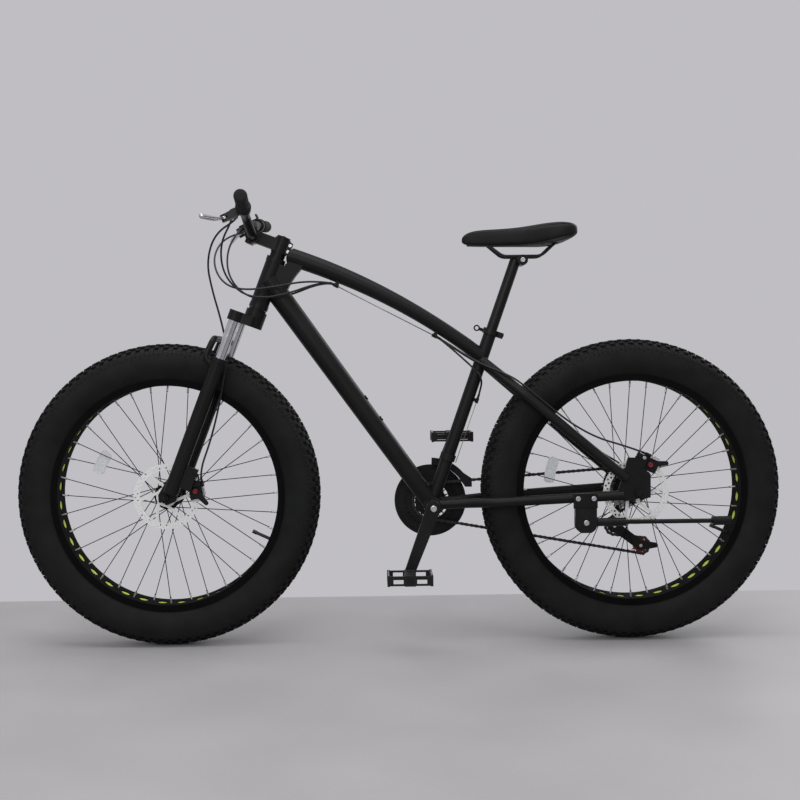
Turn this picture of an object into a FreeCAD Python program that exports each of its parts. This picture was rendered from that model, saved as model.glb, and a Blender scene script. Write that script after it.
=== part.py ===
import FreeCAD, Part
import math
import os

# A fat tyre mountain bike, in millimetres.
# +X points forward, +Y to the rider's left, +Z up.
# The origin lies on the ground, midway between the two wheels.

Vector = FreeCAD.Vector
ORIGIN = Vector(0, 0, 0)
ALONG_X = Vector(1, 0, 0)
ALONG_Y = Vector(0, 1, 0)
ALONG_Z = Vector(0, 0, 1)
FULL_TURN = 360.0
HALF_TURN = 180.0
SIDES = (1, -1)

# Clearances that serve the whole bike
running_fit = 0.05
seat_gap = 0.15
face_gap = 0.3
overrun = 2.0

# Main geometry
wheelbase = 1146.0
tyre_radius = 374.0
head_lean = 21.0
fork_rake = 45.0
seat_lean = 19.5
crank_centre_back = 77.0
crank_centre_height = 342.0

# Tyre and rim section
tyre_half_width = 49.0
tyre_widest_radius = 322.0
tyre_wall = 2.6
tyre_crown = 8.2
tread_half_width = 43.0
tread_edge_radius = 354.0
tread_depth = 4.0
tread_groove_width = 5.0
tread_groove_shares = (-0.78, -0.4, 0.0, 0.4, 0.78)
bead_radius = 279.5
bead_width = 8.0
rim_radius = 270.0
rim_half_width = 40.0
rim_wall = 2.5
rim_flange_wall = 3.5
rim_flange_radius = 286.0
rim_shelf_width = 9.5
rim_cutout_length = 24.0
rim_cutout_width = 28.0
strip_thickness = 1.0
inner_tube_wall = 1.0
valve_radius = 4.0
valve_length = 34.0
valve_cap_radius = 4.8
valve_cap_length = 12.0
valve_angle = 245.0

# Spokes
spoke_count = 36
spoke_radius = 1.0
spoke_hole_offset = 12.0
spoke_cross_angle = 60.0
nipple_radius = 2.2
nipple_length = 13.0
spoke_stand_off = 1.3

# Hubs, axles and rotors
axle_radius = 5.0
flange_radius = 33.0
flange_thickness = 3.2
flange_hole_inset = 4.0
hub_radius = 17.0
hub_cavity_radius = 12.0
hub_land = 14.0
hub_boss_radius = 23.0
cone_radius = 9.0
nut_radius = 9.5
nut_height = 9.0
washer_radius = 11.0
washer_height = 1.8
axle_free_end = 8.0
axle_end_radius = 4.8
rotor_radius = 80.0
rotor_track = 15.0
rotor_thickness = 1.8
rotor_inner_width = 7.0
rotor_bore_radius = 18.0
rotor_arm_width = 7.0
rotor_arm_slant = 38.0
rotor_arm_count = 6
rotor_hole_radius = 2.6
rotor_hole_count = 30
rotor_bolt_radius = 3.6
rotor_bolt_height = 2.0

front_dropout_gap = 135.0
front_flange_left = 36.0
front_flange_right = 38.0
front_hub_left = 55.0
front_hub_right = 52.0
rear_dropout_gap = 190.0
rear_flange_left = 52.0
rear_flange_right = 38.0
rear_hub_left = 77.0
rear_boss_end = 89.0

# Fork
leg_offset = 36.0
leg_spread = 168.0
leg_radius = 17.5
leg_foot = 14.0
stanchion_radius = 12.7
stanchion_wall = 2.5
stanchion_show = 97.0
stanchion_inside = 113.0
spring_length = 128.0
spring_radius = 10.5
spring_wire = 3.0
crown_room = 86.0
crown_height = 42.0
crown_socket_radius = 18.0
crown_socket_height = 25.0
crown_centre_radius = 26.0
crown_bridge_width = 30.0
crown_cap = 5.0
seal_radius = 19.0
seal_height = 12.0
arch_radius = 8.0
arch_forward = 31.0
arch_rise = 40.0
arch_root_drop = 22.0
arch_shoulder_inset = 6.0
arch_bend = 18.0
fork_end_thickness = 10.0
fork_end_top = 50.0
fork_end_drop = 16.0
fork_end_half_width = 18.0
brake_boss_depth = 27.0
brake_boss_width = 16.0
brake_boss_low = 36.0
brake_boss_high = 92.0

# Headset, head tube and stem
steerer_radius = 14.3
steerer_wall = 2.3
race_height = 5.7
race_radius = 22.0
cup_radius = 24.0
cup_height = 11.5
cup_skirt = 12.0
head_tube_radius = 23.0
head_tube_bore = 17.0
head_tube_length = 110.0
spacer_height = 12.0
spacer_radius = 18.5
stem_height = 38.0
stem_clamp_radius = 20.0
stem_length = 72.0
stem_width = 34.0
stem_depth = 30.0
stem_bar_radius = 18.5
stem_bar_width = 46.0
stem_split = 1.0
stem_ear_depth = 12.0
stem_ear_width = 26.0
stem_ear_height = 32.0
stem_bolt_radius = 3.0
stem_bolt_head_radius = 4.6
stem_bolt_head = 4.0
face_bolt_spread = 30.0
face_bolt_rise = 35.0
top_cap_height = 5.0
top_cap_radius = 17.0
stem_room = 32.0

# Handlebar and controls
bar_radius = 11.1
bar_wall = 2.0
bar_centre_radius = 12.7
bar_centre_half = 34.0
bar_flat_half = 46.0
bar_bend_reach = 104.0
bar_rise = 38.0
bar_forward = 9.0
bar_half_width = 330.0
bar_upsweep = 19.0
bar_backsweep = 12.0
bar_bend_radius = 42.0
grip_length = 122.0
grip_radius = 15.5
grip_flange_radius = 18.5
grip_flange_width = 4.0
grip_end = 4.0
bracket_ring_radius = 16.5
bracket_ring_width = 16.0
bracket_gap = 14.0
bracket_pivot_reach = 50.0
bracket_arm_width = 14.0
bracket_arm_thickness = 17.0
bracket_fork_gap = 7.0
bracket_dip = 25.0
lever_pin_radius = 2.5
lever_hub_radius = 7.5
lever_thickness = 6.0
lever_length = 112.0
lever_flare = 46.0
lever_knuckle = 34.0
lever_bar_radius = 5.5
lever_tip_radius = 6.5
pod_radius = 19.0
pod_height = 12.0
pod_lift = 6.5
pod_barrel = 10.0
pod_inset = 30.0
pod_reach = 33.0
pod_stalk_width = 12.0
shift_pin_radius = 3.0
shift_thickness = 4.0
shift_reach = 44.0
shift_width = 9.0
shift_paddle_length = 20.0
shift_paddle_height = 12.0
barrel_radius = 4.0
barrel_length = 18.0
barrel_drop = 4.5
barrel_setback = 28.0

# Frame tubes
top_tube_station = 25.0
top_tube_seat_station = 387.0
top_tube_bow = 26.0
top_tube_radii = (22.5, 21.5, 20.0, 18.5, 17.8, 18.0)
tube_wall = 1.4
down_tube_share = 0.57
down_tube_low_radius = 22.5
down_tube_high_radius = 27.0
seat_tube_radius = 15.9
seat_tube_length = 459.0
seat_slot_width = 3.0
seat_slot_length = 34.0
gusset_thickness = 36.0
gusset_wall = 3.0
gusset_reach = 64.0
# The web behind the head tube: height as a share of the tube's length, distance back as a share of the reach
gusset_shares = ((0.5, 0), (0.5, 0.38), (0.68, 0.56), (0.68, 1.1), (0.55, 1.03), (0.38, 0.93), (0.22, 0.86),
                 (0.07, 0.83), (-0.09, 0.78), (-0.2, 0))
gusset_core_shares = ((0.44, 0), (0.44, 0.91), (0.38, 0.88), (0.22, 0.81), (0.07, 0.78), (-0.09, 0.73),
                      (-0.2, 0))
shell_half_width = 50.0
shell_radius = 20.5
shell_bore = 17.0
cup_depth = 20.0
cup_flange = 3.0
boss_radius = 6.5
boss_height = 2.5
boss_bore = 2.1
boss_spacing = 64.0
boss_middle_share = 0.405
boss_depth = 12.0
chainstay_radius = 12.0
chainstay_inset = 33.0
chainstay_waist = 36.0
chainstay_waist_back = 75.0
chainstay_bow = 70.0
chainstay_bow_back = 155.0
chainstay_bend = 150.0
chainstay_end_ahead = 34.0
chainstay_end_drop = 6.0
seatstay_radius = 12.5
seatstay_station = 378.0
seatstay_start = 17.0
seatstay_bow = 66.0
seatstay_bow_back = 300.0
seatstay_bow_height = 617.0
seatstay_bend = 120.0
seatstay_end_ahead = 26.0
seatstay_end_rise = 34.0
stay_wall = 1.3
dropout_thickness = 7.0
dropout_length = 78.0
dropout_height = 78.0
hanger_drop = 42.0
dropout_front_shares = ((0.6, -0.23), (0.6, 0.13), (0.44, 0.58))
dropout_brake_shares = ((0.3, 1.1), (-0.1, 1.08), (-0.17, 0.76), (-0.4, 0.58), (-0.4, -0.15))
dropout_plain_shares = ((-0.1, 0.74), (-0.38, 0.58), (-0.4, -0.15))
stop_radius = 4.2
stop_length = 13.0
stop_drop = 7.5
stop_spread = 11.0
stop_front_share = 0.285
stop_rear_share = 0.775
wire_radius = 0.8
housing_radius = 2.4
seat_stop_share = 0.61
housing_bend = 90.0
housing_lead = 10.0
housing_reach = 24.0
housing_end_share = 0.9
bend_run_share = 0.45

# Seat
seatpost_radius = 13.6
seatpost_wall = 2.4
seatpost_inside = 165.0
seatpost_length = 351.0
seatpost_head_radius = 13.0
seatpost_head_half = 27.0
seatpost_head_back = 15.0
collar_radius = 20.0
collar_height = 14.0
collar_ear = 12.0
collar_ear_half = 10.0
collar_slot = 3.0
skewer_radius = 3.0
clamp_nut_radius = 6.5
clamp_nut_height = 6.0
cam_radius = 8.0
cam_height = 9.0
quick_lever_length = 56.0
quick_lever_thickness = 4.0
quick_lever_width = 8.0
quick_loop_radius = 8.0
quick_loop_bore = 4.5
rail_radius = 3.5
rail_spread = 44.0
saddle_length = 286.0
saddle_nose_width = 40.0
saddle_height = 66.0
saddle_nose_ahead = 150.0
saddle_lift = 30.0
saddle_shell_thickness = 5.0
saddle_skirt = 7.5
saddle_bottom_share = 0.94
saddle_shoulder_share = 0.95
saddle_shoulder_rise_share = 0.75
saddle_roof_share = 0.36
saddle_hollow_share = 0.06
rail_end_share = 0.34
rail_front_shares = (0.17, 0.18)
rail_rear_shares = (0.84, 0.85)
rail_flat_shares = (0.17, 0.16)
# Stations along the saddle: place, half width, skirt level and crown level, as shares of its sizes
saddle_station_shares = (
    (0.0, 0.30, 0.22, 0.36),
    (0.05, 0.72, 0.14, 0.58),
    (0.16, 1.0, 0.10, 0.72),
    (0.36, 1.25, 0.09, 0.77),
    (0.52, 1.85, 0.09, 0.82),
    (0.68, 3.05, 0.10, 0.94),
    (0.84, 4.0, 0.20, 1.0),
    (0.95, 3.5, 0.40, 0.92),
    (1.0, 2.1, 0.54, 0.72),
)

# Cranks, rings and chain
chain_pitch = 12.7
chain_line = 60.0
chain_plate_height = 8.4
chain_plate_thickness = 1.1
chain_inner_half = 1.7
roller_radius = 3.4
tooth_height = 3.0
tooth_root = 4.6
tooth_base = 4.0
tooth_tip = 1.6
cog_thickness = 2.2
inner_teeth = 22
middle_teeth = 32
outer_teeth = 42
ring_spacing = 8.0
inner_ring_bore = 26.0
outer_ring_bore = 47.0
spider_arms = 5
spider_radius = 60.0
spider_arm_width = 15.0
spider_bolt_circle = 54.0
spider_bolt_radius = 4.0
spider_bolt_head = 2.0
inner_bolt_circle = 33.0
guard_inner = 72.0
guard_outer = 91.5
guard_thickness = 2.5
guard_post_circle = 77.0
guard_post_radius = 4.0
crank_length = 170.0
crank_angle = 20.9
crank_inner = 91.0
crank_thickness = 13.0
crank_hub_radius = 17.0
crank_hub_inner = 57.0
crank_eye_radius = 12.5
spindle_radius = 8.5
crank_bolt_radius = 8.0
crank_bolt_head = 3.0
pedal_axle_radius = 6.0
pedal_axle_length = 92.0
pedal_length = 108.0
pedal_width = 88.0
pedal_height = 26.0
pedal_gap = 6.0
pedal_wall = 7.0
pedal_barrel_radius = 12.0
pedal_rib_width = 6.0
freewheel_teeth = (28, 24, 22, 20, 18, 16, 14)
chain_cog_index = 1
cog_spacing = 5.0
freewheel_body_radius = 21.5
pulley_teeth = 11
pulley_half = 3.4
pulley_pin_radius = 2.5
pulley_web_share = 0.3

# Derailleurs
guide_ahead = 27.0
guide_drop = 102.0
cage_length = 84.0
cage_angle = 37.2
cage_half_gap = 4.0
cage_plate = 1.6
cage_guide_radius = 13.0
cage_tension_radius = 12.0
cage_tail_length = 38.0
cage_tail_radius = 6.0
knuckle_radius = 12.0
knuckle_length = 18.0
slide_rod_radius = 4.0
slide_eye_radius = 9.0
slide_ahead = 14.0
slide_drop = 74.0
link_thickness = 4.0
hanger_bolt_radius = 5.0
mount_radius = 11.0
mount_length = 20.0
mount_arm = 8.0
rod_overhang = 6.0
front_mech_station = 124.0
front_mech_ring = 19.5
front_mech_height = 16.0
front_mech_clearance = 5.0
front_mech_depth = 17.0
front_mech_plate = 1.5
front_mech_half_gap = 5.6
front_mech_tail = 42.0
front_mech_tail_gap = 17.0
front_mech_tail_drop = 9.0
front_mech_rod = 24.0
front_mech_start = 92.0
front_mech_finish = 140.0
front_mech_bar = 8.0
front_mech_guide_radius = 3.0

# Brake calipers
caliper_radius = 74.0
caliper_half_length = 20.0
caliper_half_depth = 16.0
caliper_inner_half = 12.0
caliper_outer_half = 13.0
caliper_slot = 3.4
caliper_lug = 5.5
caliper_lug_start = 11.0
caliper_lug_length = 29.0
caliper_lug_width = 28.0
caliper_arm_radius = 9.0
caliper_arm_reach = 34.0
caliper_arm_rise = 20.0
caliper_stop_start = 8.0
caliper_arm_thickness = 5.0
caliper_arm_tip_radius = 5.0
caliper_pin_radius = 3.0
caliper_knob_radius = 7.5
caliper_knob_height = 5.0
front_caliper_turn = 58.0
rear_caliper_turn = 25.5

# Kickstand
stand_ahead = 128.0
stand_pivot_drop = 70.0
stand_plate_length = 58.0
stand_plate_height = 36.0
stand_plate_thickness = 7.0
stand_block_length = 52.0
stand_block_height = 50.0
stand_block_width = 20.0
stand_bolt_radius = 5.0
stand_bolt_head = 3.0
stand_pin_radius = 5.0
stand_hub_radius = 12.0
stand_hub_width = 11.0
stand_sleeve_radius = 10.0
stand_sleeve_length = 98.0
stand_rod_radius = 5.5
stand_rod_length = 308.0
stand_foot_radius = 11.0
stand_foot_length = 44.0

# Cable routes: hand-chosen points in the space between the tubes
rear_brake_loop = ((440, -85, 1015), (462, -45, 970), (452, 0, 922), (420, 32, 886), (370, 42, 876),
                   (300, 42, 884), (235, 30, 897))
shift_loop = ((432, 72, 985), (428, 52, 915), (385, 44, 866), (330, 43, 856), (267, 40, 868), (212, 22, 889))
stay_route = ((-190, 31, 694), (-262, 60, 664), (-300, 67, 640), (-440, 83, 519))
seat_tube_route = ((-172, 24, 690), (-206, 22, 655))
derailleur_route = ((-440, -83, 519), (-512, -93, 462), (-572, -106, 428), (-622, -112, 384),
                    (-628, -114, 336),
                    (-594, -114, 322))
front_brake_route = ((440, 115, 1005), (462, 92, 940), (452, 72, 875), (436, 64, 815), (424, 60, 760),
                     (420, 58, 712), (440, 58, 600), (462, 62, 512))

# Places worked out from the sizes above
front_axle = Vector(wheelbase / 2, 0, tyre_radius)
rear_axle = Vector(-wheelbase / 2, 0, tyre_radius)
head_cos = math.cos(math.radians(head_lean))
head_sin = math.sin(math.radians(head_lean))
steer_up = Vector(-head_sin, 0, head_cos)
steer_ahead = Vector(head_cos, 0, head_sin)
steer_foot = front_axle - steer_ahead * fork_rake
seat_up = Vector(-math.sin(math.radians(seat_lean)), 0, math.cos(math.radians(seat_lean)))
crank_centre = Vector(-crank_centre_back, 0, crank_centre_height)
crown_bottom = tyre_radius + crown_room
crown_top = crown_bottom + crown_height
lower_cup_bottom = crown_top + race_height + face_gap
head_bottom = lower_cup_bottom + cup_height
head_top = head_bottom + head_tube_length
upper_cup_top = head_top + cup_height
spacer_bottom = upper_cup_top + face_gap
stem_bottom = spacer_bottom + spacer_height
stem_top = stem_bottom + stem_height
stem_middle = stem_bottom + stem_height / 2
leg_top = crown_bottom - stanchion_show
stanchion_bottom = leg_top - stanchion_inside
leg_half = leg_spread / 2
inner_ring_line = -chain_line
middle_ring_line = inner_ring_line - ring_spacing
outer_ring_line = middle_ring_line - ring_spacing


def steer_point(station, ahead, left):
    """A place given along the steering axis, ahead of it and to the left."""
    return steer_foot + steer_up * station + steer_ahead * ahead + ALONG_Y * left


def seat_point(station, ahead, left):
    """A place given along the seat tube from the cranks, ahead of it and to the left."""
    forward = Vector(seat_up.z, 0, -seat_up.x)
    return crank_centre + seat_up * station + forward * ahead + ALONG_Y * left


def leaned(shape, origin, lean):
    """Set a shape drawn upright at the origin on an axis that leans back."""
    place = FreeCAD.Placement(origin, FreeCAD.Rotation(ALONG_Y, -lean))
    moved = shape.copy()
    moved.Placement = place.multiply(moved.Placement)
    return moved


def on_fork(shape):
    return leaned(shape, steer_foot, head_lean)


def on_seat(shape):
    return leaned(shape, crank_centre, seat_lean)


def moved_to(shape, place):
    copy = shape.copy()
    copy.translate(place)
    return copy


def turned(shape, angle, axis=ALONG_Y, centre=ORIGIN):
    copy = shape.copy()
    copy.rotate(centre, axis, angle)
    return copy


def other_side(shape):
    return shape.mirror(ORIGIN, ALONG_Y)


def rod(start, end, radius):
    run = end.sub(start)
    return Part.makeCylinder(radius, run.Length, start, run)


def pipe(start, end, outer, inner):
    return rod(start, end, outer).cut(rod(start, end, inner))


def cross_rod(x, z, y_start, y_end, radius):
    """A rod across the bike."""
    return rod(Vector(x, y_start, z), Vector(x, y_end, z), radius)


def upright(x, y, z_start, z_end, radius):
    return rod(Vector(x, y, z_start), Vector(x, y, z_end), radius)


def block(low, high):
    size = high.sub(low)
    return Part.makeBox(size.x, size.y, size.z, low)


def flat(points, y_start, y_end):
    """A plate: an outline of x, z points, from one y to another."""
    corners = [Vector(x, y_start, z) for x, z in points]
    outline = Part.makePolygon(corners + corners[:1])
    return Part.Face(outline).extrude(Vector(0, y_end - y_start, 0))


def strap(centres, radii, y_start, y_end):
    """A plate whose outline is drawn tight round two circles."""
    (ax, az), (bx, bz) = centres
    first, second = radii
    run = math.hypot(bx - ax, bz - az)
    heading = math.atan2(bz - az, bx - ax)
    swing = math.acos((first - second) / run)
    corners = []
    for x, z, radius, side in ((ax, az, first, 1), (bx, bz, second, 1), (bx, bz, second, -1),
                               (ax, az, first, -1)):
        angle = heading + side * swing
        corners.append((x + radius * math.cos(angle), z + radius * math.sin(angle)))
    plate = flat(corners, y_start, y_end)
    ends = [cross_rod(ax, az, y_start, y_end, first), cross_rod(bx, bz, y_start, y_end, second)]
    return plate.fuse(ends).removeSplitter()


def rounded_wire(points, radius, end_share=None):
    """Straight runs joined by tangent arcs, each as large as the radius and its runs allow."""
    edges = []
    start = points[0]
    bends = []
    end_share = end_share or bend_run_share
    final = len(points) - 3
    for index, (before, corner, after) in enumerate(zip(points, points[1:], points[2:])):
        into = corner.sub(before)
        out = after.sub(corner)
        room_before = into.Length * (end_share if index == 0 else bend_run_share)
        room_after = out.Length * (end_share if index == final else bend_run_share)
        half_turn = into.getAngle(out) / 2
        reach = min(radius * math.tan(half_turn), room_before, room_after)
        bend = reach / math.tan(half_turn)
        into.normalize()
        out.normalize()
        inward = out.sub(into)
        inward.normalize()
        first = corner - into * reach
        last = corner + out * reach
        middle = corner + inward * (bend / math.cos(half_turn) - bend)
        edges.append(Part.LineSegment(start, first).toShape())
        edges.append(Part.Arc(first, middle, last).toShape())
        bends.append(bend)
        start = last
    edges.append(Part.LineSegment(start, points[-1]).toShape())
    return Part.Wire(edges), bends


def swept(wire, radius):
    """A round bar along a wire."""
    first = wire.OrderedEdges[0]
    start = first.valueAt(first.FirstParameter)
    along = first.tangentAt(first.FirstParameter)
    ring = Part.Wire(Part.Circle(start, along, radius).toShape())
    return wire.makePipeShell([ring], True, False)


def bent_bar(points, radius, bend):
    return swept(rounded_wire(points, bend)[0], radius)


def spun(points):
    """A body of revolution about Y, from an outline of y, radius points."""
    corners = [Vector(0, y, radius) for y, radius in points]
    outline = Part.makePolygon(corners + corners[:1])
    return Part.Face(outline).revolve(ORIGIN, ALONG_Y, FULL_TURN)


def ring_of(shape, count, start=0.0):
    """Copies of a shape, evenly turned about Y."""
    return [turned(shape, start + FULL_TURN * step / count) for step in range(count)]


def hexagon(x, z, y_start, y_end, radius):
    corners = []
    for step in range(6):
        angle = math.radians(FULL_TURN * step / 6)
        corners.append((x + radius * math.cos(angle), z + radius * math.sin(angle)))
    return flat(corners, y_start, y_end)


def save(node, *solids):
    """Write one node's solids to its file."""
    found = [solid for shape in solids for solid in shape.Solids]
    for solid in found:
        if not solid.isValid() or solid.Volume <= 0:
            raise ValueError(node + " holds a broken solid")
    Part.makeCompound(found).exportStep("parts/" + node + ".step")
    print(node, len(found), "solids", round(sum(solid.Volume for solid in found) / 1000, 1), "cm3")


# The wheels


def arc_edge(first, middle, last):
    """An arc through three y, radius points."""
    ends = [Vector(0, y, radius) for y, radius in (first, middle, last)]
    return Part.Arc(*ends).toShape()


def line_edge(first, last):
    return Part.LineSegment(Vector(0, first[0], first[1]), Vector(0, last[0], last[1])).toShape()


def tyre_outline(inset, crown_inset):
    """Half section points of the casing: bead top, widest point, tread edge and crown."""
    bead_edge = rim_half_width - rim_flange_wall - seat_gap - inset
    return (
        (bead_edge, rim_flange_radius + seat_gap),
        (tyre_half_width - inset, tyre_widest_radius),
        (tread_half_width - inset, tread_edge_radius - inset),
        (0, tyre_radius - crown_inset),
    )


def mirrored(point):
    return (-point[0], point[1])


def section_edges(outline):
    bead, wide, edge, crown = outline
    left = arc_edge(bead, wide, edge)
    top = arc_edge(edge, crown, mirrored(edge))
    right = arc_edge(mirrored(edge), mirrored(wide), mirrored(bead))
    return [left, top, right]


def make_tyre():
    outer = tyre_outline(0, 0)
    inner = tyre_outline(tyre_wall, tyre_crown)
    bead_edge = outer[0][0]
    toe = bead_edge - bead_width
    heel = (bead_edge, bead_radius + seat_gap)
    foot = (toe, bead_radius + seat_gap)
    edges = section_edges(outer)
    edges.append(line_edge(mirrored(outer[0]), mirrored(heel)))
    edges.append(line_edge(mirrored(heel), mirrored(foot)))
    edges.append(line_edge(mirrored(foot), mirrored(inner[0])))
    edges += reversed(section_edges(inner))
    edges.append(line_edge(inner[0], foot))
    edges.append(line_edge(foot, heel))
    edges.append(line_edge(heel, outer[0]))
    wire = Part.Wire(Part.__sortEdges__(edges))
    casing = Part.Face(wire).revolve(ORIGIN, ALONG_Y, FULL_TURN)
    bulge = tyre_radius - tread_edge_radius
    grooves = []
    for share in tread_groove_shares:
        middle = share * tread_half_width
        floor = tyre_radius - bulge * share * share - tread_depth
        near = middle - tread_groove_width / 2
        far = middle + tread_groove_width / 2
        top = tyre_radius + overrun
        grooves.append(spun([(near, floor), (far, floor), (far, top), (near, top)]))
    return casing.cut(grooves)


def make_rim():
    inner_wall = rim_half_width - rim_flange_wall
    shelf_edge = inner_wall - rim_shelf_width
    well = rim_radius + rim_wall
    half = [(rim_half_width, rim_radius), (rim_half_width, rim_flange_radius),
            (inner_wall, rim_flange_radius), (inner_wall, bead_radius), (shelf_edge, bead_radius),
            (shelf_edge, well)]
    rim = spun(half + [mirrored(point) for point in reversed(half)])
    oval = Part.Ellipse(ORIGIN, max(rim_cutout_length, rim_cutout_width) / 2,
                        min(rim_cutout_length, rim_cutout_width) / 2)
    window = Part.Face(Part.Wire(oval.toShape())).extrude(ALONG_Z * (rim_wall + 2 * overrun))
    if rim_cutout_width > rim_cutout_length:
        window = turned(window, HALF_TURN / 2, ALONG_Z)
    window.translate(ALONG_Z * (rim_radius - overrun))
    step = FULL_TURN / spoke_count
    windows = [turned(window, step * (place + 1 / 2)) for place in range(spoke_count)
               if abs(step * (place + 1 / 2) - valve_angle) > step / 2]
    holes = []
    for side in SIDES:
        hole = upright(0, side * spoke_hole_offset, rim_radius - overrun, well + overrun,
                       nipple_radius + seat_gap)
        holes += ring_of(hole, spoke_count // 2, 0 if side > 0 else step)
    valve_hole = upright(0, 0, rim_radius - overrun, well + overrun, valve_radius + seat_gap)
    return rim.cut(windows + holes + [turned(valve_hole, valve_angle)])


def make_strip_and_tube():
    """The rim strip, and the inner tube with its valve, which stands through the rim."""
    well = rim_radius + rim_wall + seat_gap
    half_width = rim_half_width - rim_flange_wall - rim_shelf_width - seat_gap
    low = well
    high = well + strip_thickness
    strip = spun([(-half_width, low), (half_width, low), (half_width, high), (-half_width, high)])
    outer = tyre_outline(tyre_wall + seat_gap, tyre_crown + seat_gap)
    inner = tyre_outline(tyre_wall + seat_gap + inner_tube_wall, tyre_crown + seat_gap + inner_tube_wall)
    base = high + seat_gap
    toe = outer[0][0] - bead_width - seat_gap
    edges = section_edges(outer)
    corner = (toe, base)
    edges.append(line_edge((outer[0][0] - bead_width, outer[0][1]), corner))
    edges.append(line_edge(outer[0], (outer[0][0] - bead_width, outer[0][1])))
    edges.append(line_edge(corner, mirrored(corner)))
    edges.append(line_edge(mirrored(corner), (-(outer[0][0] - bead_width), outer[0][1])))
    edges.append(line_edge((-(outer[0][0] - bead_width), outer[0][1]), mirrored(outer[0])))
    skin = Part.Face(Part.Wire(Part.__sortEdges__(edges))).revolve(ORIGIN, ALONG_Y, FULL_TURN)
    hollow_base = rim_flange_radius + inner_tube_wall
    lower = (inner[0][0] - inner_tube_wall, hollow_base)
    hollow_edges = section_edges((lower, inner[1], inner[2], inner[3]))
    hollow_edges.append(line_edge(lower, mirrored(lower)))
    hollow = Part.Face(Part.Wire(Part.__sortEdges__(hollow_edges))).revolve(ORIGIN, ALONG_Y, FULL_TURN)
    well_half = toe - inner_tube_wall
    well_low = base + inner_tube_wall
    well_high = hollow_base + overrun
    well_hollow = spun([(-well_half, well_low), (well_half, well_low), (well_half, well_high),
                        (-well_half, well_high)])
    stem = upright(0, 0, rim_radius - valve_length, base + inner_tube_wall, valve_radius)
    cap_start = rim_radius - valve_length - valve_cap_length
    cap = upright(0, 0, cap_start, rim_radius - valve_length, valve_cap_radius)
    tube = skin.cut([hollow, well_hollow]).fuse([turned(stem, valve_angle), turned(cap, valve_angle)])
    hole = upright(0, 0, low - overrun, high + overrun, valve_radius + seat_gap)
    return strip.cut(turned(hole, valve_angle)), tube


def make_spokes(left, right):
    """Crossed spokes with their bends and nipples, from flanges at two distances."""
    spokes = []
    hole_circle = flange_radius - flange_hole_inset
    rim_seat = rim_radius + rim_wall
    step = FULL_TURN / spoke_count
    beside = flange_thickness / 2 + spoke_radius + spoke_stand_off
    for side, flange in ((1, left), (-1, right)):
        for lead in SIDES:
            plane = side * flange + side * lead * beside
            far_plane = side * flange - side * lead * beside
            hub_angle = (0 if lead > 0 else 2 * step) + (0 if side > 0 else step)
            rim_angle = hub_angle + lead * spoke_cross_angle
            elbow = Vector(0, plane, hole_circle)
            seat = turned_point(Vector(0, side * spoke_hole_offset, rim_seat), rim_angle - hub_angle)
            shaft = rod(elbow, seat, spoke_radius)
            bend = Part.makeSphere(spoke_radius, elbow)
            head = rod(elbow, Vector(0, far_plane, hole_circle), spoke_radius)
            pull = elbow.sub(seat)
            pull.normalize()
            radial = Vector(seat.x, 0, seat.z)
            radial.normalize()
            nipple = rod(seat, seat - radial * (rim_wall + overrun), nipple_radius)
            sleeve = rod(seat - radial * (rim_wall + overrun),
                         seat - radial * (rim_wall + overrun) + pull * nipple_length, nipple_radius)
            joint = Part.makeSphere(nipple_radius, seat - radial * (rim_wall + overrun))
            spoke = shaft.fuse([bend, head, nipple, joint, sleeve])
            spokes += ring_of(spoke, spoke_count // 4, hub_angle)
    return spokes


def turned_point(point, angle):
    return FreeCAD.Rotation(ALONG_Y, angle).multVec(point)


def make_hub(left_flange, right_flange, left_end, right_end):
    """A hub shell with two spoke flanges, a rotor boss on the left and bearing lands."""
    body = cross_rod(0, 0, -right_end, left_end, hub_radius)
    pieces = [cross_rod(0, 0, left_flange, left_end, hub_boss_radius)]
    for side, place in ((1, left_flange), (-1, right_flange)):
        middle = side * place
        pieces.append(cross_rod(0, 0, middle - flange_thickness / 2, middle + flange_thickness / 2,
                                flange_radius))
    hub = body.fuse(pieces).removeSplitter()
    hole_circle = flange_radius - flange_hole_inset
    step = FULL_TURN / spoke_count
    holes = []
    for side, place in ((1, left_flange), (-1, right_flange)):
        middle = side * place
        hole = cross_rod(0, hole_circle, middle - flange_thickness, middle + flange_thickness,
                         spoke_radius + seat_gap)
        holes += ring_of(hole, spoke_count // 2, 0 if side > 0 else step)
    bore = cross_rod(0, 0, -right_end - overrun, left_end + overrun, axle_radius + running_fit)
    cavity = cross_rod(0, 0, -right_end + hub_land, left_end - hub_land, hub_cavity_radius)
    return hub.cut(holes + [bore, cavity])


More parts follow.
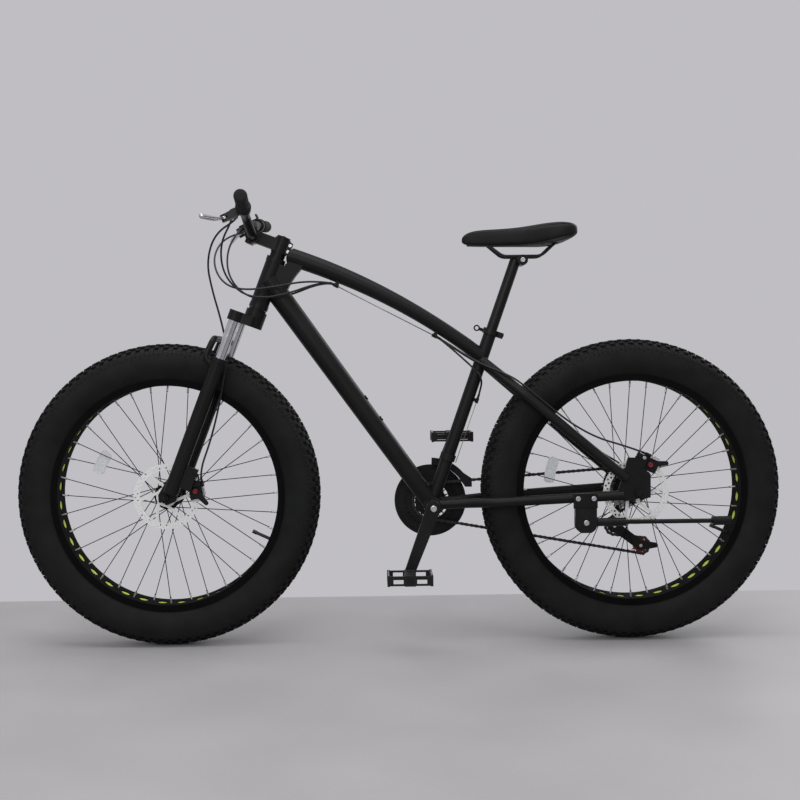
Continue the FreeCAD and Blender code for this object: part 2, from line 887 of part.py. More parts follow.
def make_rotor(face):
    """A brake disc against the hub's left end: track, slanted arms, inner ring and bolts."""
    back = face + rotor_thickness
    track_inner = rotor_radius - rotor_track
    ring_outer = rotor_bore_radius + rotor_inner_width
    track = spun([(face, track_inner), (back, track_inner), (back, rotor_radius), (face, rotor_radius)])
    inner = spun([(face, rotor_bore_radius), (back, rotor_bore_radius), (back, ring_outer),
                  (face, ring_outer)])
    root = Vector(0, face, ring_outer - rotor_inner_width / 2)
    tip = turned_point(Vector(0, face, track_inner + rotor_track / 4), rotor_arm_slant)
    run = tip.sub(root)
    arm = Part.makeBox(rotor_arm_width, rotor_thickness, run.Length)
    arm.translate(Vector(-rotor_arm_width / 2, face, 0))
    arm = turned(arm, math.degrees(math.atan2(run.x, run.z)))
    arm.translate(Vector(root.x, 0, root.z))
    disc = track.fuse(ring_of(arm, rotor_arm_count) + [inner]).removeSplitter()
    row = rotor_track / 3
    holes = []
    for level, shift in ((track_inner + row, 0.0), (track_inner + 2 * row, 0.5)):
        hole = cross_rod(0, level, face - overrun, back + overrun, rotor_hole_radius)
        holes += ring_of(hole, rotor_hole_count, shift * FULL_TURN / rotor_hole_count)
    bolt = cross_rod(0, rotor_bore_radius + rotor_inner_width / 2, back, back + rotor_bolt_height,
                     rotor_bolt_radius)
    return [disc.cut(holes)] + ring_of(bolt, rotor_arm_count)


def make_axle(dropout_gap, dropout_wall, left_hub, right_hub):
    """A threaded axle with its bearing cones, washers, nuts and free ends."""
    outer = dropout_gap / 2 + dropout_wall
    end = outer + washer_height + nut_height + axle_free_end
    shoulder = end - axle_free_end
    shaft = cross_rod(0, 0, -shoulder, shoulder, axle_radius)
    ends = cross_rod(0, 0, -end, end, axle_end_radius)
    cones = [cross_rod(0, 0, left_hub + face_gap, dropout_gap / 2, cone_radius),
             cross_rod(0, 0, -dropout_gap / 2, -right_hub - face_gap, cone_radius)]
    solids = [shaft.fuse(cones + [ends]).removeSplitter()]
    for side in SIDES:
        washer = cross_rod(0, 0, side * outer, side * (outer + washer_height), washer_radius)
        start = side * (outer + washer_height)
        nut = hexagon(0, 0, start, start + side * nut_height, nut_radius)
        bore = cross_rod(0, 0, -end, end, axle_radius + seat_gap)
        solids.append(washer.cut(bore))
        solids.append(nut.cut(bore))
    return solids


def at(solids, place):
    return [moved_to(solid, place) for solid in solids]


def build_wheels():
    tyre = make_tyre()
    rim = make_rim()
    strip, tube = make_strip_and_tube()
    for name, place in (("front", front_axle), ("rear", rear_axle)):
        save(name + "_tyre", moved_to(tyre, place))
        save(name + "_rim", moved_to(rim, place))
        save(name + "_tube_and_strip", moved_to(strip, place), moved_to(tube, place))
    front_hub = make_hub(front_flange_left, front_flange_right, front_hub_left, front_hub_right)
    save("front_hub", moved_to(front_hub, front_axle))
    save("front_spokes", *at(make_spokes(front_flange_left, front_flange_right), front_axle))
    save("front_rotor", *at(make_rotor(front_hub_left), front_axle))
    rear_hub = make_hub(rear_flange_left, rear_flange_right, rear_hub_left, rear_boss_end)
    save("rear_hub", moved_to(rear_hub, rear_axle))
    save("rear_spokes", *at(make_spokes(rear_flange_left, rear_flange_right), rear_axle))
    save("rear_rotor", *at(make_rotor(rear_hub_left), rear_axle))
    save("front_axle", *at(make_axle(front_dropout_gap, fork_end_thickness, front_hub_left, front_hub_right),
                           front_axle))
    save("rear_axle", *at(make_axle(rear_dropout_gap, dropout_thickness, rear_hub_left, rear_boss_end),
                          rear_axle))


# The fork, drawn upright about the steering axis


def build_fork():
    save("fork_crown", on_fork(make_crown()))
    stanchions = []
    springs = []
    for side in SIDES:
        tube = pipe(Vector(leg_offset, side * leg_half, stanchion_bottom),
                    Vector(leg_offset, side * leg_half,
                           crown_bottom + crown_socket_height - crown_cap - seat_gap),
                    stanchion_radius, stanchion_radius - stanchion_wall)
        stanchions.append(on_fork(tube))
        top = stanchion_bottom - seat_gap
        spring = pipe(Vector(leg_offset, side * leg_half, top - spring_length),
                      Vector(leg_offset, side * leg_half, top), spring_radius, spring_radius - spring_wire)
        springs.append(on_fork(spring))
    save("stanchions", *stanchions)
    save("fork_springs", *springs)
    save("fork_lowers", on_fork(make_lowers()))


def make_crown():
    """Steerer tube, crown and the two sockets that hold the stanchions."""
    centre = upright(0, 0, crown_bottom, crown_top, crown_centre_radius)
    race = upright(0, 0, crown_top, crown_top + race_height, race_radius)
    steerer = upright(0, 0, crown_bottom, stem_top, steerer_radius)
    pieces = [race, steerer]
    for side in SIDES:
        socket = upright(leg_offset, side * leg_half, crown_bottom, crown_bottom + crown_socket_height,
                         crown_socket_radius)
        half = crown_bridge_width / 2
        corners = [Vector(-half, 0, crown_bottom), Vector(leg_offset - half, side * leg_half, crown_bottom),
                   Vector(leg_offset + half, side * leg_half, crown_bottom), Vector(half, 0, crown_bottom)]
        web = Part.Face(Part.makePolygon(corners + corners[:1])).extrude(ALONG_Z * crown_socket_height)
        pieces += [socket, web]
    crown = centre.fuse(pieces)
    cuts = [upright(0, 0, crown_bottom - overrun, stem_top + overrun, steerer_radius - steerer_wall)]
    for side in SIDES:
        cuts.append(upright(leg_offset, side * leg_half, crown_bottom - overrun,
                            crown_bottom + crown_socket_height - crown_cap,
                            stanchion_radius + seat_gap / 2))
    return crown.cut(cuts).removeSplitter()


def make_lowers():
    """The two lower legs, the arch that joins them over the tyre, and the axle ends."""
    pieces = []
    cuts = []
    for side in SIDES:
        left = side * leg_half
        pieces.append(upright(leg_offset, left, leg_foot, leg_top, leg_radius))
        pieces.append(upright(leg_offset, left, leg_top - seal_height, leg_top, seal_radius))
        inner = front_dropout_gap / 2
        outline = [(leg_offset - fork_end_half_width, fork_end_top),
                   (leg_offset + fork_end_half_width, fork_end_top),
                   (fork_rake + fork_end_half_width, 0), (fork_rake + washer_radius, -fork_end_drop),
                   (fork_rake - washer_radius, -fork_end_drop), (leg_offset - fork_end_half_width, 0)]
        pieces.append(flat(outline, side * inner, side * (inner + fork_end_thickness)))
        slot = block(Vector(fork_rake - axle_radius - seat_gap, -leg_spread, -fork_end_drop - overrun),
                     Vector(fork_rake + axle_radius + seat_gap, leg_spread, 0))
        cuts.append(slot)
        cuts.append(cross_rod(fork_rake, 0, -leg_spread, leg_spread, axle_radius + seat_gap))
        outer = inner + fork_end_thickness
        room = washer_radius + face_gap
        nut_room = block(Vector(fork_rake - room, min(side * outer, side * leg_spread),
                                -fork_end_drop - overrun),
                         Vector(fork_rake + room, max(side * outer, side * leg_spread), room))
        cuts.append(nut_room)
        bore_bottom = stanchion_bottom - seat_gap - spring_length - seat_gap
        cuts.append(upright(leg_offset, left, bore_bottom, leg_top + overrun,
                            stanchion_radius + running_fit))
    arch_x = leg_offset + arch_forward
    arch_y = leg_half - arch_shoulder_inset
    root = leg_top - arch_root_drop
    route = []
    for side in SIDES:
        half_route = [Vector(leg_offset + leg_radius / 2, side * leg_half, root),
                      Vector(arch_x + arch_radius / 2, side * leg_half, root + arch_root_drop / 2),
                      Vector(arch_x, side * arch_y, leg_top + arch_rise)]
        route += half_route if side > 0 else half_route[::-1]
    pieces.append(bent_bar(route, arch_radius, arch_bend))
    boss_x = leg_offset - leg_radius - brake_boss_depth
    boss_inner = leg_half - brake_boss_width / 2
    pieces.append(block(Vector(boss_x, boss_inner, brake_boss_low),
                        Vector(leg_offset, boss_inner + brake_boss_width, brake_boss_high)))
    return pieces[0].fuse(pieces[1:]).cut(cuts).removeSplitter()


# Headset, stem and handlebar


def build_cockpit():
    stem, plate, hardware = make_stem()
    save("stem", *[on_fork(solid) for solid in [stem, plate] + hardware])
    save("handlebar", make_bar())
    grips = []
    brackets = []
    for side in SIDES:
        start, along = bar_end_run(side)
        grips.append(make_grip(start, along))
    save("grips", *grips)
    for side, name in ((1, "left"), (-1, "right")):
        bracket, lever, shifter = make_controls(side)
        brackets.append(bracket)
        save(name + "_brake_lever", lever)
        save(name + "_shift_lever", shifter)
    save("lever_brackets", *brackets)


def make_stem():
    """A stem with a split steerer clamp, a bolted face plate, and the top cap."""
    clamp = upright(0, 0, stem_bottom, stem_top, stem_clamp_radius)
    body = block(Vector(0, -stem_width / 2, stem_middle - stem_depth / 2),
                 Vector(stem_length, stem_width / 2, stem_middle + stem_depth / 2))
    barrel = cross_rod(stem_length, stem_middle, -stem_bar_width / 2, stem_bar_width / 2, stem_bar_radius)
    lugs = block(Vector(stem_length - stem_bolt_head_radius, -stem_bar_width / 2,
                        stem_middle - face_bolt_rise / 2 - stem_bolt_head_radius),
                 Vector(stem_length + stem_bolt_head_radius * 2, stem_bar_width / 2,
                        stem_middle + face_bolt_rise / 2 + stem_bolt_head_radius))
    ear = block(Vector(-stem_clamp_radius - stem_ear_depth / 2, -stem_ear_width / 2,
                       stem_middle - stem_ear_height / 2),
                Vector(0, stem_ear_width / 2, stem_middle + stem_ear_height / 2))
    whole = clamp.fuse([body, barrel, lugs, ear])
    whole = whole.cut([upright(0, 0, stem_bottom - overrun, stem_top + overrun, steerer_radius + seat_gap),
                       cross_rod(stem_length, stem_middle, -stem_bar_width, stem_bar_width,
                                 bar_centre_radius + seat_gap),
                       block(Vector(-stem_clamp_radius - stem_ear_depth, -stem_split / 2,
                                    stem_bottom - overrun),
                             Vector(0, stem_split / 2, stem_top + overrun))])
    far = stem_length + stem_bar_radius + overrun
    front = block(Vector(stem_length + stem_split / 2, -stem_bar_width, stem_bottom - stem_bar_radius),
                  Vector(far, stem_bar_width, stem_top + stem_bar_radius))
    middle = block(Vector(stem_length - stem_split / 2, -stem_bar_width, stem_bottom - stem_bar_radius),
                   Vector(far, stem_bar_width, stem_top + stem_bar_radius))
    stem = whole.cut(middle).removeSplitter()
    plate = whole.common(front).removeSplitter()
    hardware = []
    nose = stem_length + stem_bar_radius
    for side in SIDES:
        for level in SIDES:
            y = side * face_bolt_spread / 2
            z = stem_middle + level * face_bolt_rise / 2
            lug_face = stem_length + stem_bolt_head_radius * 2
            hole = rod(Vector(stem_length - stem_bolt_head_radius, y, z), Vector(nose, y, z),
                       stem_bolt_radius)
            shank = rod(Vector(stem_length - stem_bolt_head_radius, y, z), Vector(lug_face, y, z),
                        stem_bolt_radius - seat_gap)
            head = rod(Vector(lug_face, y, z), Vector(lug_face + stem_bolt_head, y, z),
                       stem_bolt_head_radius)
            room = rod(Vector(lug_face, y, z), Vector(nose + overrun, y, z),
                       stem_bolt_head_radius + seat_gap)
            stem = stem.cut(hole)
            plate = plate.cut([hole, room])
            hardware.append(shank.fuse(head))
    for level in SIDES:
        z = stem_middle + level * stem_ear_height / 4
        x = -stem_clamp_radius - stem_bolt_head_radius / 2
        start = stem_ear_width / 2
        hardware.append(cross_rod(x, z, start, start + stem_bolt_head / 2, stem_bolt_head_radius))
    cap = upright(0, 0, stem_top + seat_gap, stem_top + seat_gap + top_cap_height, top_cap_radius)
    bolt = upright(0, 0, stem_top + seat_gap + top_cap_height,
                   stem_top + top_cap_height + stem_bolt_head / 2,
                   stem_bolt_head_radius)
    spacer = pipe(Vector(0, 0, spacer_bottom), Vector(0, 0, stem_bottom), spacer_radius,
                  steerer_radius + seat_gap)
    return stem, plate, hardware + [cap, bolt, spacer]


bar_middle = steer_point(stem_middle, stem_length, 0)


def bar_points(side):
    """The left or right half of the handlebar's line, from the middle out."""
    return [bar_middle + Vector(0, side * bar_flat_half, 0),
            bar_middle + Vector(bar_forward, side * bar_bend_reach, bar_rise),
            bar_middle + Vector(bar_forward - bar_backsweep, side * (bar_half_width - grip_end),
                                bar_rise + bar_upsweep)]


def bar_end_run(side):
    """The grip end of the bar, and the direction that it points."""
    points = bar_points(side)
    along = points[2].sub(points[1])
    along.normalize()
    return points[2], along


def make_bar():
    route = bar_points(1)[::-1] + bar_points(-1)
    wire = rounded_wire(route, bar_bend_radius)[0]
    bar = swept(wire, bar_radius)
    sleeve = rod(bar_middle - ALONG_Y * bar_centre_half, bar_middle + ALONG_Y * bar_centre_half,
                 bar_centre_radius)
    return bar.fuse(sleeve).cut(swept(wire, bar_radius - bar_wall)).removeSplitter()


def make_grip(end, along):
    start = end - along * grip_length
    sleeve = rod(start, end + along * grip_end, grip_radius)
    flange = rod(start, start + along * grip_flange_width, grip_flange_radius)
    lip = rod(end, end + along * grip_end, grip_radius)
    return sleeve.fuse([flange, lip]).cut(rod(start - along * overrun, end,
                                              bar_radius + seat_gap)).removeSplitter()


def control_axes(side):
    """Directions at the controls: along the bar, towards the fingers, and square to both."""
    along = bar_end_run(side)[1]
    dip = math.radians(bracket_dip)
    ahead = Vector(math.cos(dip), 0, -math.sin(dip))
    ahead = ahead - along * ahead.dot(along)
    ahead.normalize()
    upward = along.cross(ahead) * -side
    upward.normalize()
    return along, ahead, upward


def plank(start, end, width_way, width, thick_way, thickness):
    """A straight bar of rectangular section between two points."""
    corners = []
    for across, through in ((1, 1), (-1, 1), (-1, -1), (1, -1)):
        corners.append(start + width_way * (across * width / 2) + thick_way * (through * thickness / 2))
    return Part.Face(Part.makePolygon(corners + corners[:1])).extrude(end.sub(start))


def make_controls(side):
    """A brake lever bracket with its shifter pod, the brake lever and the shift lever."""
    end = bar_end_run(side)[0]
    along, ahead, upward = control_axes(side)
    ring_outer = end - along * (grip_length + bracket_gap)
    ring_inner = ring_outer - along * bracket_ring_width
    ring_middle = (ring_outer + ring_inner) * (1 / 2)
    pivot = ring_middle + ahead * bracket_pivot_reach
    ring = rod(ring_inner, ring_outer, bracket_ring_radius)
    arm = plank(ring_middle, pivot, along, bracket_arm_width, upward, bracket_arm_thickness)
    cheek = rod(pivot - upward * (bracket_arm_thickness / 2), pivot + upward * (bracket_arm_thickness / 2),
                lever_hub_radius)
    pod_middle = ring_inner - along * pod_inset + ahead * pod_reach + upward * pod_lift
    pod = rod(pod_middle - upward * (pod_height / 2), pod_middle + upward * (pod_height / 2), pod_radius)
    stalk_root = ring_middle + ahead * (bar_radius + pod_stalk_width) + upward * pod_lift
    stalk = plank(stalk_root, pod_middle, ahead, pod_stalk_width, upward, pod_height)
    shift_floor = pod_middle + upward * (pod_height / 2)
    shift_top = shift_floor + upward * (face_gap + shift_thickness)
    pin = rod(pod_middle, shift_top + upward * face_gap, shift_pin_radius)
    barrel_root = pivot - ahead * barrel_setback - upward * barrel_drop
    barrel = rod(barrel_root, barrel_root - along * (bracket_arm_width / 2 + barrel_length), barrel_radius)
    pod_tip = rod(pod_middle, pod_middle - along * (pod_radius + pod_barrel), barrel_radius)
    bracket = ring.fuse([arm, cheek, pod, stalk, pin, barrel, pod_tip])
    fork_half = bracket_fork_gap / 2
    gap_room = lever_hub_radius + overrun
    slot = plank(pivot - ahead * gap_room, pivot + ahead * (gap_room + overrun), along,
                 bracket_arm_width * 2, upward, bracket_fork_gap)
    bore = rod(ring_inner - along * overrun, ring_outer + along * overrun, bar_radius + seat_gap)
    bracket = bracket.cut([slot, bore])
    hinge_pin = rod(pivot - upward * fork_half, pivot + upward * fork_half, lever_pin_radius)
    bracket = bracket.fuse(hinge_pin).removeSplitter()
    hub = rod(pivot - upward * (lever_thickness / 2), pivot + upward * (lever_thickness / 2),
              lever_hub_radius - seat_gap)
    knuckle = pivot + along * lever_knuckle + ahead * (lever_flare / 2)
    tip = pivot + along * lever_length + ahead * lever_flare
    blade = bent_bar([pivot, knuckle, tip], lever_bar_radius / 2 + lever_thickness / 4, lever_length)
    knob = Part.makeSphere(lever_tip_radius / 2 + lever_thickness / 4, tip)
    lever = blade.fuse([hub, knob])
    trim = lever_thickness / 2
    for way in SIDES:
        slab_start = pivot - along * lever_length + upward * (way * (trim + lever_length / 2))
        slab_end = pivot + along * (lever_length * 2) + upward * (way * (trim + lever_length / 2))
        lever = lever.cut(plank(slab_start, slab_end, ahead, lever_length * 2, upward, lever_length))
    lever = lever.cut(rod(pivot - upward * lever_thickness, pivot + upward * lever_thickness,
                          lever_pin_radius + running_fit)).removeSplitter()
    shift_base = shift_floor + upward * face_gap
    shift_hub = rod(shift_base, shift_top, shift_width)
    back = pod_middle - ahead * shift_reach + along * shift_width
    middle = (shift_base + shift_top) * (1 / 2)
    lift = middle.sub(pod_middle)
    shift_arm = plank(middle, back + lift, along, shift_width, upward, shift_thickness)
    paddle = plank(back + lift, back + lift + upward * shift_paddle_height, along, shift_paddle_length,
                   ahead, shift_thickness)
    shifter = shift_hub.fuse([shift_arm, paddle]).cut(rod(pod_middle, shift_top + upward * overrun,
                                                          shift_pin_radius + running_fit))
    return bracket, lever, shifter.removeSplitter()


def housing_starts(side):
    """Where the brake and shift housings leave the controls, and the direction they leave in."""
    end = bar_end_run(side)[0]
    along, ahead, upward = control_axes(side)
    ring_middle = end - along * (grip_length + bracket_gap + bracket_ring_width / 2)
    brake_root = ring_middle + ahead * (bracket_pivot_reach - barrel_setback) - upward * barrel_drop
    brake = brake_root - along * (bracket_arm_width / 2 + barrel_length + seat_gap)
    pod_inward = bracket_ring_width / 2 + pod_inset
    pod_middle = ring_middle - along * pod_inward + ahead * pod_reach + upward * pod_lift
    shift = pod_middle - along * (pod_radius + pod_barrel + seat_gap)
    return brake, shift, along * -1


# The frame


def ring_wire(centre, along, radius):
    return Part.Wire(Part.Circle(centre, along, radius).toShape())


def top_tube_line():
    """The arched centre line of the top tube, from the head to the seat tube."""
    front = steer_point(head_top + top_tube_station, 0, 0)
    back = seat_point(top_tube_seat_station, 0, 0)
    chord = back.sub(front)
    up = Vector(chord.z, 0, -chord.x)
    up.normalize()
    middle = (front + back) * (1 / 2) + up * top_tube_bow
    return Part.Arc(front, middle, back)


def tapered(places, radii, inset):
    rings = [ring_wire(point, along, radius - inset) for (point, along), radius in zip(places, radii)]
    return Part.makeLoft(rings, True, len(rings) == 2)


def top_tube_solid(inset):
    line = top_tube_line()
    count = len(top_tube_radii) - 1
    first, last = line.FirstParameter, line.LastParameter
    places = []
    for step in range(count + 1):
        here = first + (last - first) * step / count
        places.append((line.value(here), line.tangent(here)[0]))
    return tapered(places, top_tube_radii, inset)


def down_tube_solid(inset):
    head = steer_point(head_bottom + down_tube_share * head_tube_length, 0, 0)
    along = head.sub(crank_centre)
    places = [(crank_centre, along), (head, along)]
    return tapered(places, (down_tube_low_radius, down_tube_high_radius), inset)


def stay_points(side):
    """Corner points of the chainstay and the seatstay of one side."""
    half_gap = rear_dropout_gap / 2 + dropout_thickness / 2
    rise = rear_axle.z - chainstay_end_drop - crank_centre.z
    run = crank_centre.x - rear_axle.x - chainstay_end_ahead

    def level(back):
        return crank_centre.z + rise * back / run

    start_back = shell_radius / 2
    chainstay = [Vector(crank_centre.x - start_back, side * chainstay_inset, level(start_back)),
                 Vector(crank_centre.x - chainstay_waist_back, side * chainstay_waist,
                        level(chainstay_waist_back)),
                 Vector(crank_centre.x - chainstay_bow_back, side * chainstay_bow,
                        level(chainstay_bow_back)),
                 Vector(crank_centre.x - run, side * half_gap, level(run))]
    seatstay = [seat_point(seatstay_station, 0, side * seatstay_start),
                Vector(-seatstay_bow_back, side * seatstay_bow, seatstay_bow_height),
                Vector(rear_axle.x + seatstay_end_ahead, side * half_gap, rear_axle.z + seatstay_end_rise)]
    return chainstay, seatstay


def dropout_outline(hanger):
    """Outline of a dropout about the axle, in shares of its length and height."""
    outline_shares = dropout_front_shares + (dropout_plain_shares if hanger else dropout_brake_shares)
    points = [(x * dropout_length, z * dropout_height) for x, z in outline_shares]
    if hanger:
        points += [(-mount_radius * 2, -hanger_drop), (mount_radius / 2, -hanger_drop)]
    points.append((washer_radius / 2, -washer_radius * 2))
    return points


def make_dropout(side):
    inner = side * rear_dropout_gap / 2
    plate = flat(dropout_outline(side < 0), inner, inner + side * dropout_thickness)
    width = axle_radius + seat_gap
    slot = block(Vector(-width, -rear_dropout_gap, -dropout_height), Vector(width, rear_dropout_gap, 0))
    cuts = [cross_rod(0, 0, -rear_dropout_gap, rear_dropout_gap, width)]
    if side > 0:
        cuts.append(slot)
    else:
        slot_end = Vector(-mount_radius / 2, 0, -hanger_drop + mount_radius)
        cuts.append(cross_rod(slot_end.x, slot_end.z, -rear_dropout_gap, rear_dropout_gap,
                              hanger_bolt_radius + seat_gap))
    return moved_to(plate.cut(cuts), rear_axle)


hanger_hole = rear_axle + Vector(-mount_radius / 2, 0, -hanger_drop + mount_radius)


def cable_stop(place, along):
    """A slotted stop brazed under a tube: a short barrel on a foot."""
    start = place - along * (stop_length / 2)
    barrel = rod(start, start + along * stop_length, stop_radius)
    up = Vector(-along.z, 0, along.x)
    if up.z < 0:
        up = up * -1
    foot = plank(place, place + up * (stop_drop + overrun * 2), along, stop_length * (2 / 3), ALONG_Y,
                 stop_radius)
    return barrel.fuse(foot).cut(rod(start - along * overrun, start + along * (stop_length + overrun),
                                     wire_radius + seat_gap))


def stop_places():
    """Middles of the cable stops under the top tube: three at the front and three at the rear."""
    line = top_tube_line()
    places = []
    for share in (stop_front_share, stop_rear_share):
        here = line.FirstParameter + (line.LastParameter - line.FirstParameter) * share
        spot = share * (len(top_tube_radii) - 1)
        low = int(spot)
        radius = top_tube_radii[low] + (top_tube_radii[low + 1] - top_tube_radii[low]) * (spot - low)
        along = line.tangent(here)[0]
        down = Vector(along.z, 0, -along.x)
        if down.z > 0:
            down = down * -1
        middle = line.value(here) + down * (radius + stop_drop)
        places.append([middle + ALONG_Y * (stop_spread * step) for step in (1, 0, -1)])
    return places


def build_frame():
    head_axis = (steer_point(head_bottom, 0, 0), steer_point(head_top, 0, 0))
    head = rod(head_axis[0], head_axis[1], head_tube_radius)
    head_room = rod(steer_point(head_top, 0, 0), steer_point(stem_top, 0, 0), stem_room)
    head_bore = rod(steer_point(head_bottom - overrun, 0, 0), steer_point(head_top + overrun, 0, 0),
                    head_tube_bore)
    seat_tube = rod(seat_point(0, 0, 0), seat_point(seat_tube_length, 0, 0), seat_tube_radius)
    shell = cross_rod(crank_centre.x, crank_centre.z, -shell_half_width, shell_half_width, shell_radius)
    front_stops, rear_stops = stop_places()
    wires = [rear.sub(front) for front, rear in zip(front_stops, rear_stops)]
    for run in wires:
        run.normalize()
    stops = [cable_stop(place, run) for place, run in zip(front_stops, wires)]
    stops += [cable_stop(place, run) for place, run in zip(rear_stops, wires)]
    top_outer = top_tube_solid(0)
    top_core = top_tube_solid(tube_wall)
    top = top_outer.fuse(stops).cut([top_core, head, head_room, seat_tube])
    save("top_tube", largest(top))
    down_outer = down_tube_solid(0)
    bosses, boss_holes = bottle_bosses()
    down = down_outer.fuse(bosses).cut([down_tube_solid(tube_wall), head, shell, top_outer, seat_tube])
    down = largest(down.fuse(boss_sleeves()).cut(boss_holes + [shell]))
    save("down_tube", down)
    save("head_tube", make_gusset(head, [top_outer, down_outer, head_room]).cut(head_bore).removeSplitter())
    bore = rod(seat_point(0, 0, 0), seat_point(seat_tube_length + overrun, 0, 0),
               seatpost_radius + running_fit)
    slot = on_seat(block(Vector(-seat_tube_radius - overrun, -seat_slot_width / 2,
                                seat_tube_length - seat_slot_length),
                         Vector(0, seat_slot_width / 2, seat_tube_length + overrun)))
    stop = cable_stop(seat_stop_place(), seat_up)
    save("seat_tube", largest(seat_tube.fuse(stop).cut([bore, slot, shell])))
    save("bottom_bracket_shell", shell.cut(cross_rod(crank_centre.x, crank_centre.z,
                                                     -shell_half_width - overrun,
                                                     shell_half_width + overrun, shell_bore)))
    build_rear_triangle(seat_tube, shell, top_outer, down_outer)
    build_cups()


def largest(shape):
    return max(shape.Solids, key=lambda solid: solid.Volume)


def make_gusset(head, neighbours):
    """The head tube with the hollow web behind it that joins it to the top and down tubes."""
    middle = steer_point(head_bottom + head_tube_length / 2, 0, 0)

    def web(shares, thickness):
        corners = [middle + steer_up * (head_tube_length * rise) - steer_ahead * (gusset_reach * back)
                   for rise, back in shares]
        return flat([(corner.x, corner.z) for corner in corners], -thickness / 2, thickness / 2)

    core = web(gusset_core_shares, gusset_thickness - gusset_wall * 2)
    plate = web(gusset_shares, gusset_thickness).cut([core] + neighbours)
    return largest(head.fuse(plate))


def boss_places():
    """Middles and outward direction of the two bottle cage bosses on the down tube."""
    head = steer_point(head_bottom + down_tube_share * head_tube_length, 0, 0)
    along = head.sub(crank_centre)
    length = along.Length
    along.normalize()
    out = Vector(-along.z, 0, along.x)
    places = []
    for step in SIDES:
        far = length * boss_middle_share + step * boss_spacing / 2
        radius = down_tube_low_radius + (down_tube_high_radius - down_tube_low_radius) * far / length
        places.append(crank_centre + along * far + out * radius)
    return places, out


def bottle_bosses():
    places, out = boss_places()
    bosses = [rod(place - out * overrun, place + out * boss_height, boss_radius) for place in places]
    holes = [rod(place - out * boss_depth, place + out * (boss_height + overrun),
                 boss_bore) for place in places]
    return bosses, holes


def boss_sleeves():
    places, out = boss_places()
    return [rod(place - out * boss_depth, place - out * (tube_wall / 2), boss_radius) for place in places]


def seat_stop_place():
    return seat_point(seat_tube_length * seat_stop_share, -seat_tube_radius - stop_drop, 0)


def build_rear_triangle(seat_tube, shell, top_outer, down_outer):
    solids = []
    for side in SIDES:
        dropout = make_dropout(side)
        chain_points, seat_points = stay_points(side)
        chain_wire = rounded_wire(chain_points, chainstay_bend)[0]
        seat_wire = rounded_wire(seat_points, seatstay_bend)[0]
        chain_outer = swept(chain_wire, chainstay_radius)
        seat_outer = swept(seat_wire, seatstay_radius)
        nut_room = moved_to(cross_rod(0, 0, -rear_dropout_gap, rear_dropout_gap, washer_radius + face_gap),
                            rear_axle)
        chain_stay = chain_outer.cut([swept(chain_wire, chainstay_radius - stay_wall), shell, down_outer,
                                      dropout,
                                      nut_room])
        seat_stay = seat_outer.cut([swept(seat_wire, seatstay_radius - stay_wall), seat_tube, top_outer,
                                    dropout,
                                    chain_outer, nut_room])
        middle = block(Vector(-wheelbase, min(0, side * wheelbase), 0),
                       Vector(wheelbase, max(0, side * wheelbase), wheelbase))
        solids += [dropout, largest(chain_stay.common(middle)), largest(seat_stay.common(middle))]
    save("rear_triangle", *solids)


def build_cups():
    """Headset cups in the head tube and threaded cups in the bottom bracket shell."""
    cups = []
    for low, high, skirt_low, skirt_high in ((lower_cup_bottom, head_bottom, head_bottom,
                                              head_bottom + cup_skirt),
                                             (head_top, upper_cup_top, head_top - cup_skirt, head_top)):
        cup = upright(0, 0, low, high, cup_radius)
        skirt = upright(0, 0, skirt_low, skirt_high, head_tube_bore - seat_gap / 2)
        bore = upright(0, 0, lower_cup_bottom - overrun, stem_top, steerer_radius + running_fit)
        cups.append(on_fork(cup.fuse(skirt).cut(bore).removeSplitter()))
    for side in SIDES:
        inner = side * (shell_half_width - cup_depth)
        outer = side * shell_half_width
        cup = cross_rod(0, 0, inner, outer, shell_bore - seat_gap / 2)
        flange = cross_rod(0, 0, outer, outer + side * cup_flange, shell_radius)
        bore = cross_rod(0, 0, -wheelbase, wheelbase, spindle_radius + running_fit)
        cups.append(moved_to(cup.fuse(flange).cut(bore).removeSplitter(), crank_centre))
    save("bearing_cups", *cups)


# Seat


def build_seat():
    top = seat_tube_length
    ring = upright(0, 0, top - collar_height, top, collar_radius)
    ear = block(Vector(-collar_radius - collar_ear, -collar_ear_half, top - collar_height),
                Vector(0, collar_ear_half, top))
    pin_x = -collar_radius - collar_ear / 2
    pin_z = top - collar_height / 2
    bore = upright(0, 0, top - collar_height - overrun, top + overrun, seat_tube_radius + seat_gap)
    slot = block(Vector(-collar_radius - collar_ear - overrun, -collar_slot / 2,
                        top - collar_height - overrun),
                 Vector(0, collar_slot / 2, top + overrun))
    hole = cross_rod(pin_x, pin_z, -wheelbase, wheelbase, skewer_radius + seat_gap)
    collar = ring.fuse(ear).cut([bore, slot, hole]).removeSplitter()
    cam_y = -collar_ear_half - seat_gap - cam_radius
    skewer = cross_rod(pin_x, pin_z, cam_y + cam_radius * (1 / 2), collar_ear_half + clamp_nut_height,
                       skewer_radius)
    nut = cross_rod(pin_x, pin_z, collar_ear_half, collar_ear_half + clamp_nut_height, clamp_nut_radius)
    cam_pin = upright(pin_x, cam_y, pin_z - cam_height / 2, pin_z + cam_height / 2, skewer_radius)
    cam_room = upright(pin_x, cam_y, pin_z - cam_height, pin_z + cam_height, cam_radius + face_gap)
    link = skewer.fuse(nut).cut(cam_room)
    save("seat_collar", on_seat(collar), on_seat(link), on_seat(cam_pin))
    save("seat_collar_lever", on_seat(make_quick_lever(pin_x, cam_y, pin_z)))
    build_seatpost()
    build_saddle()


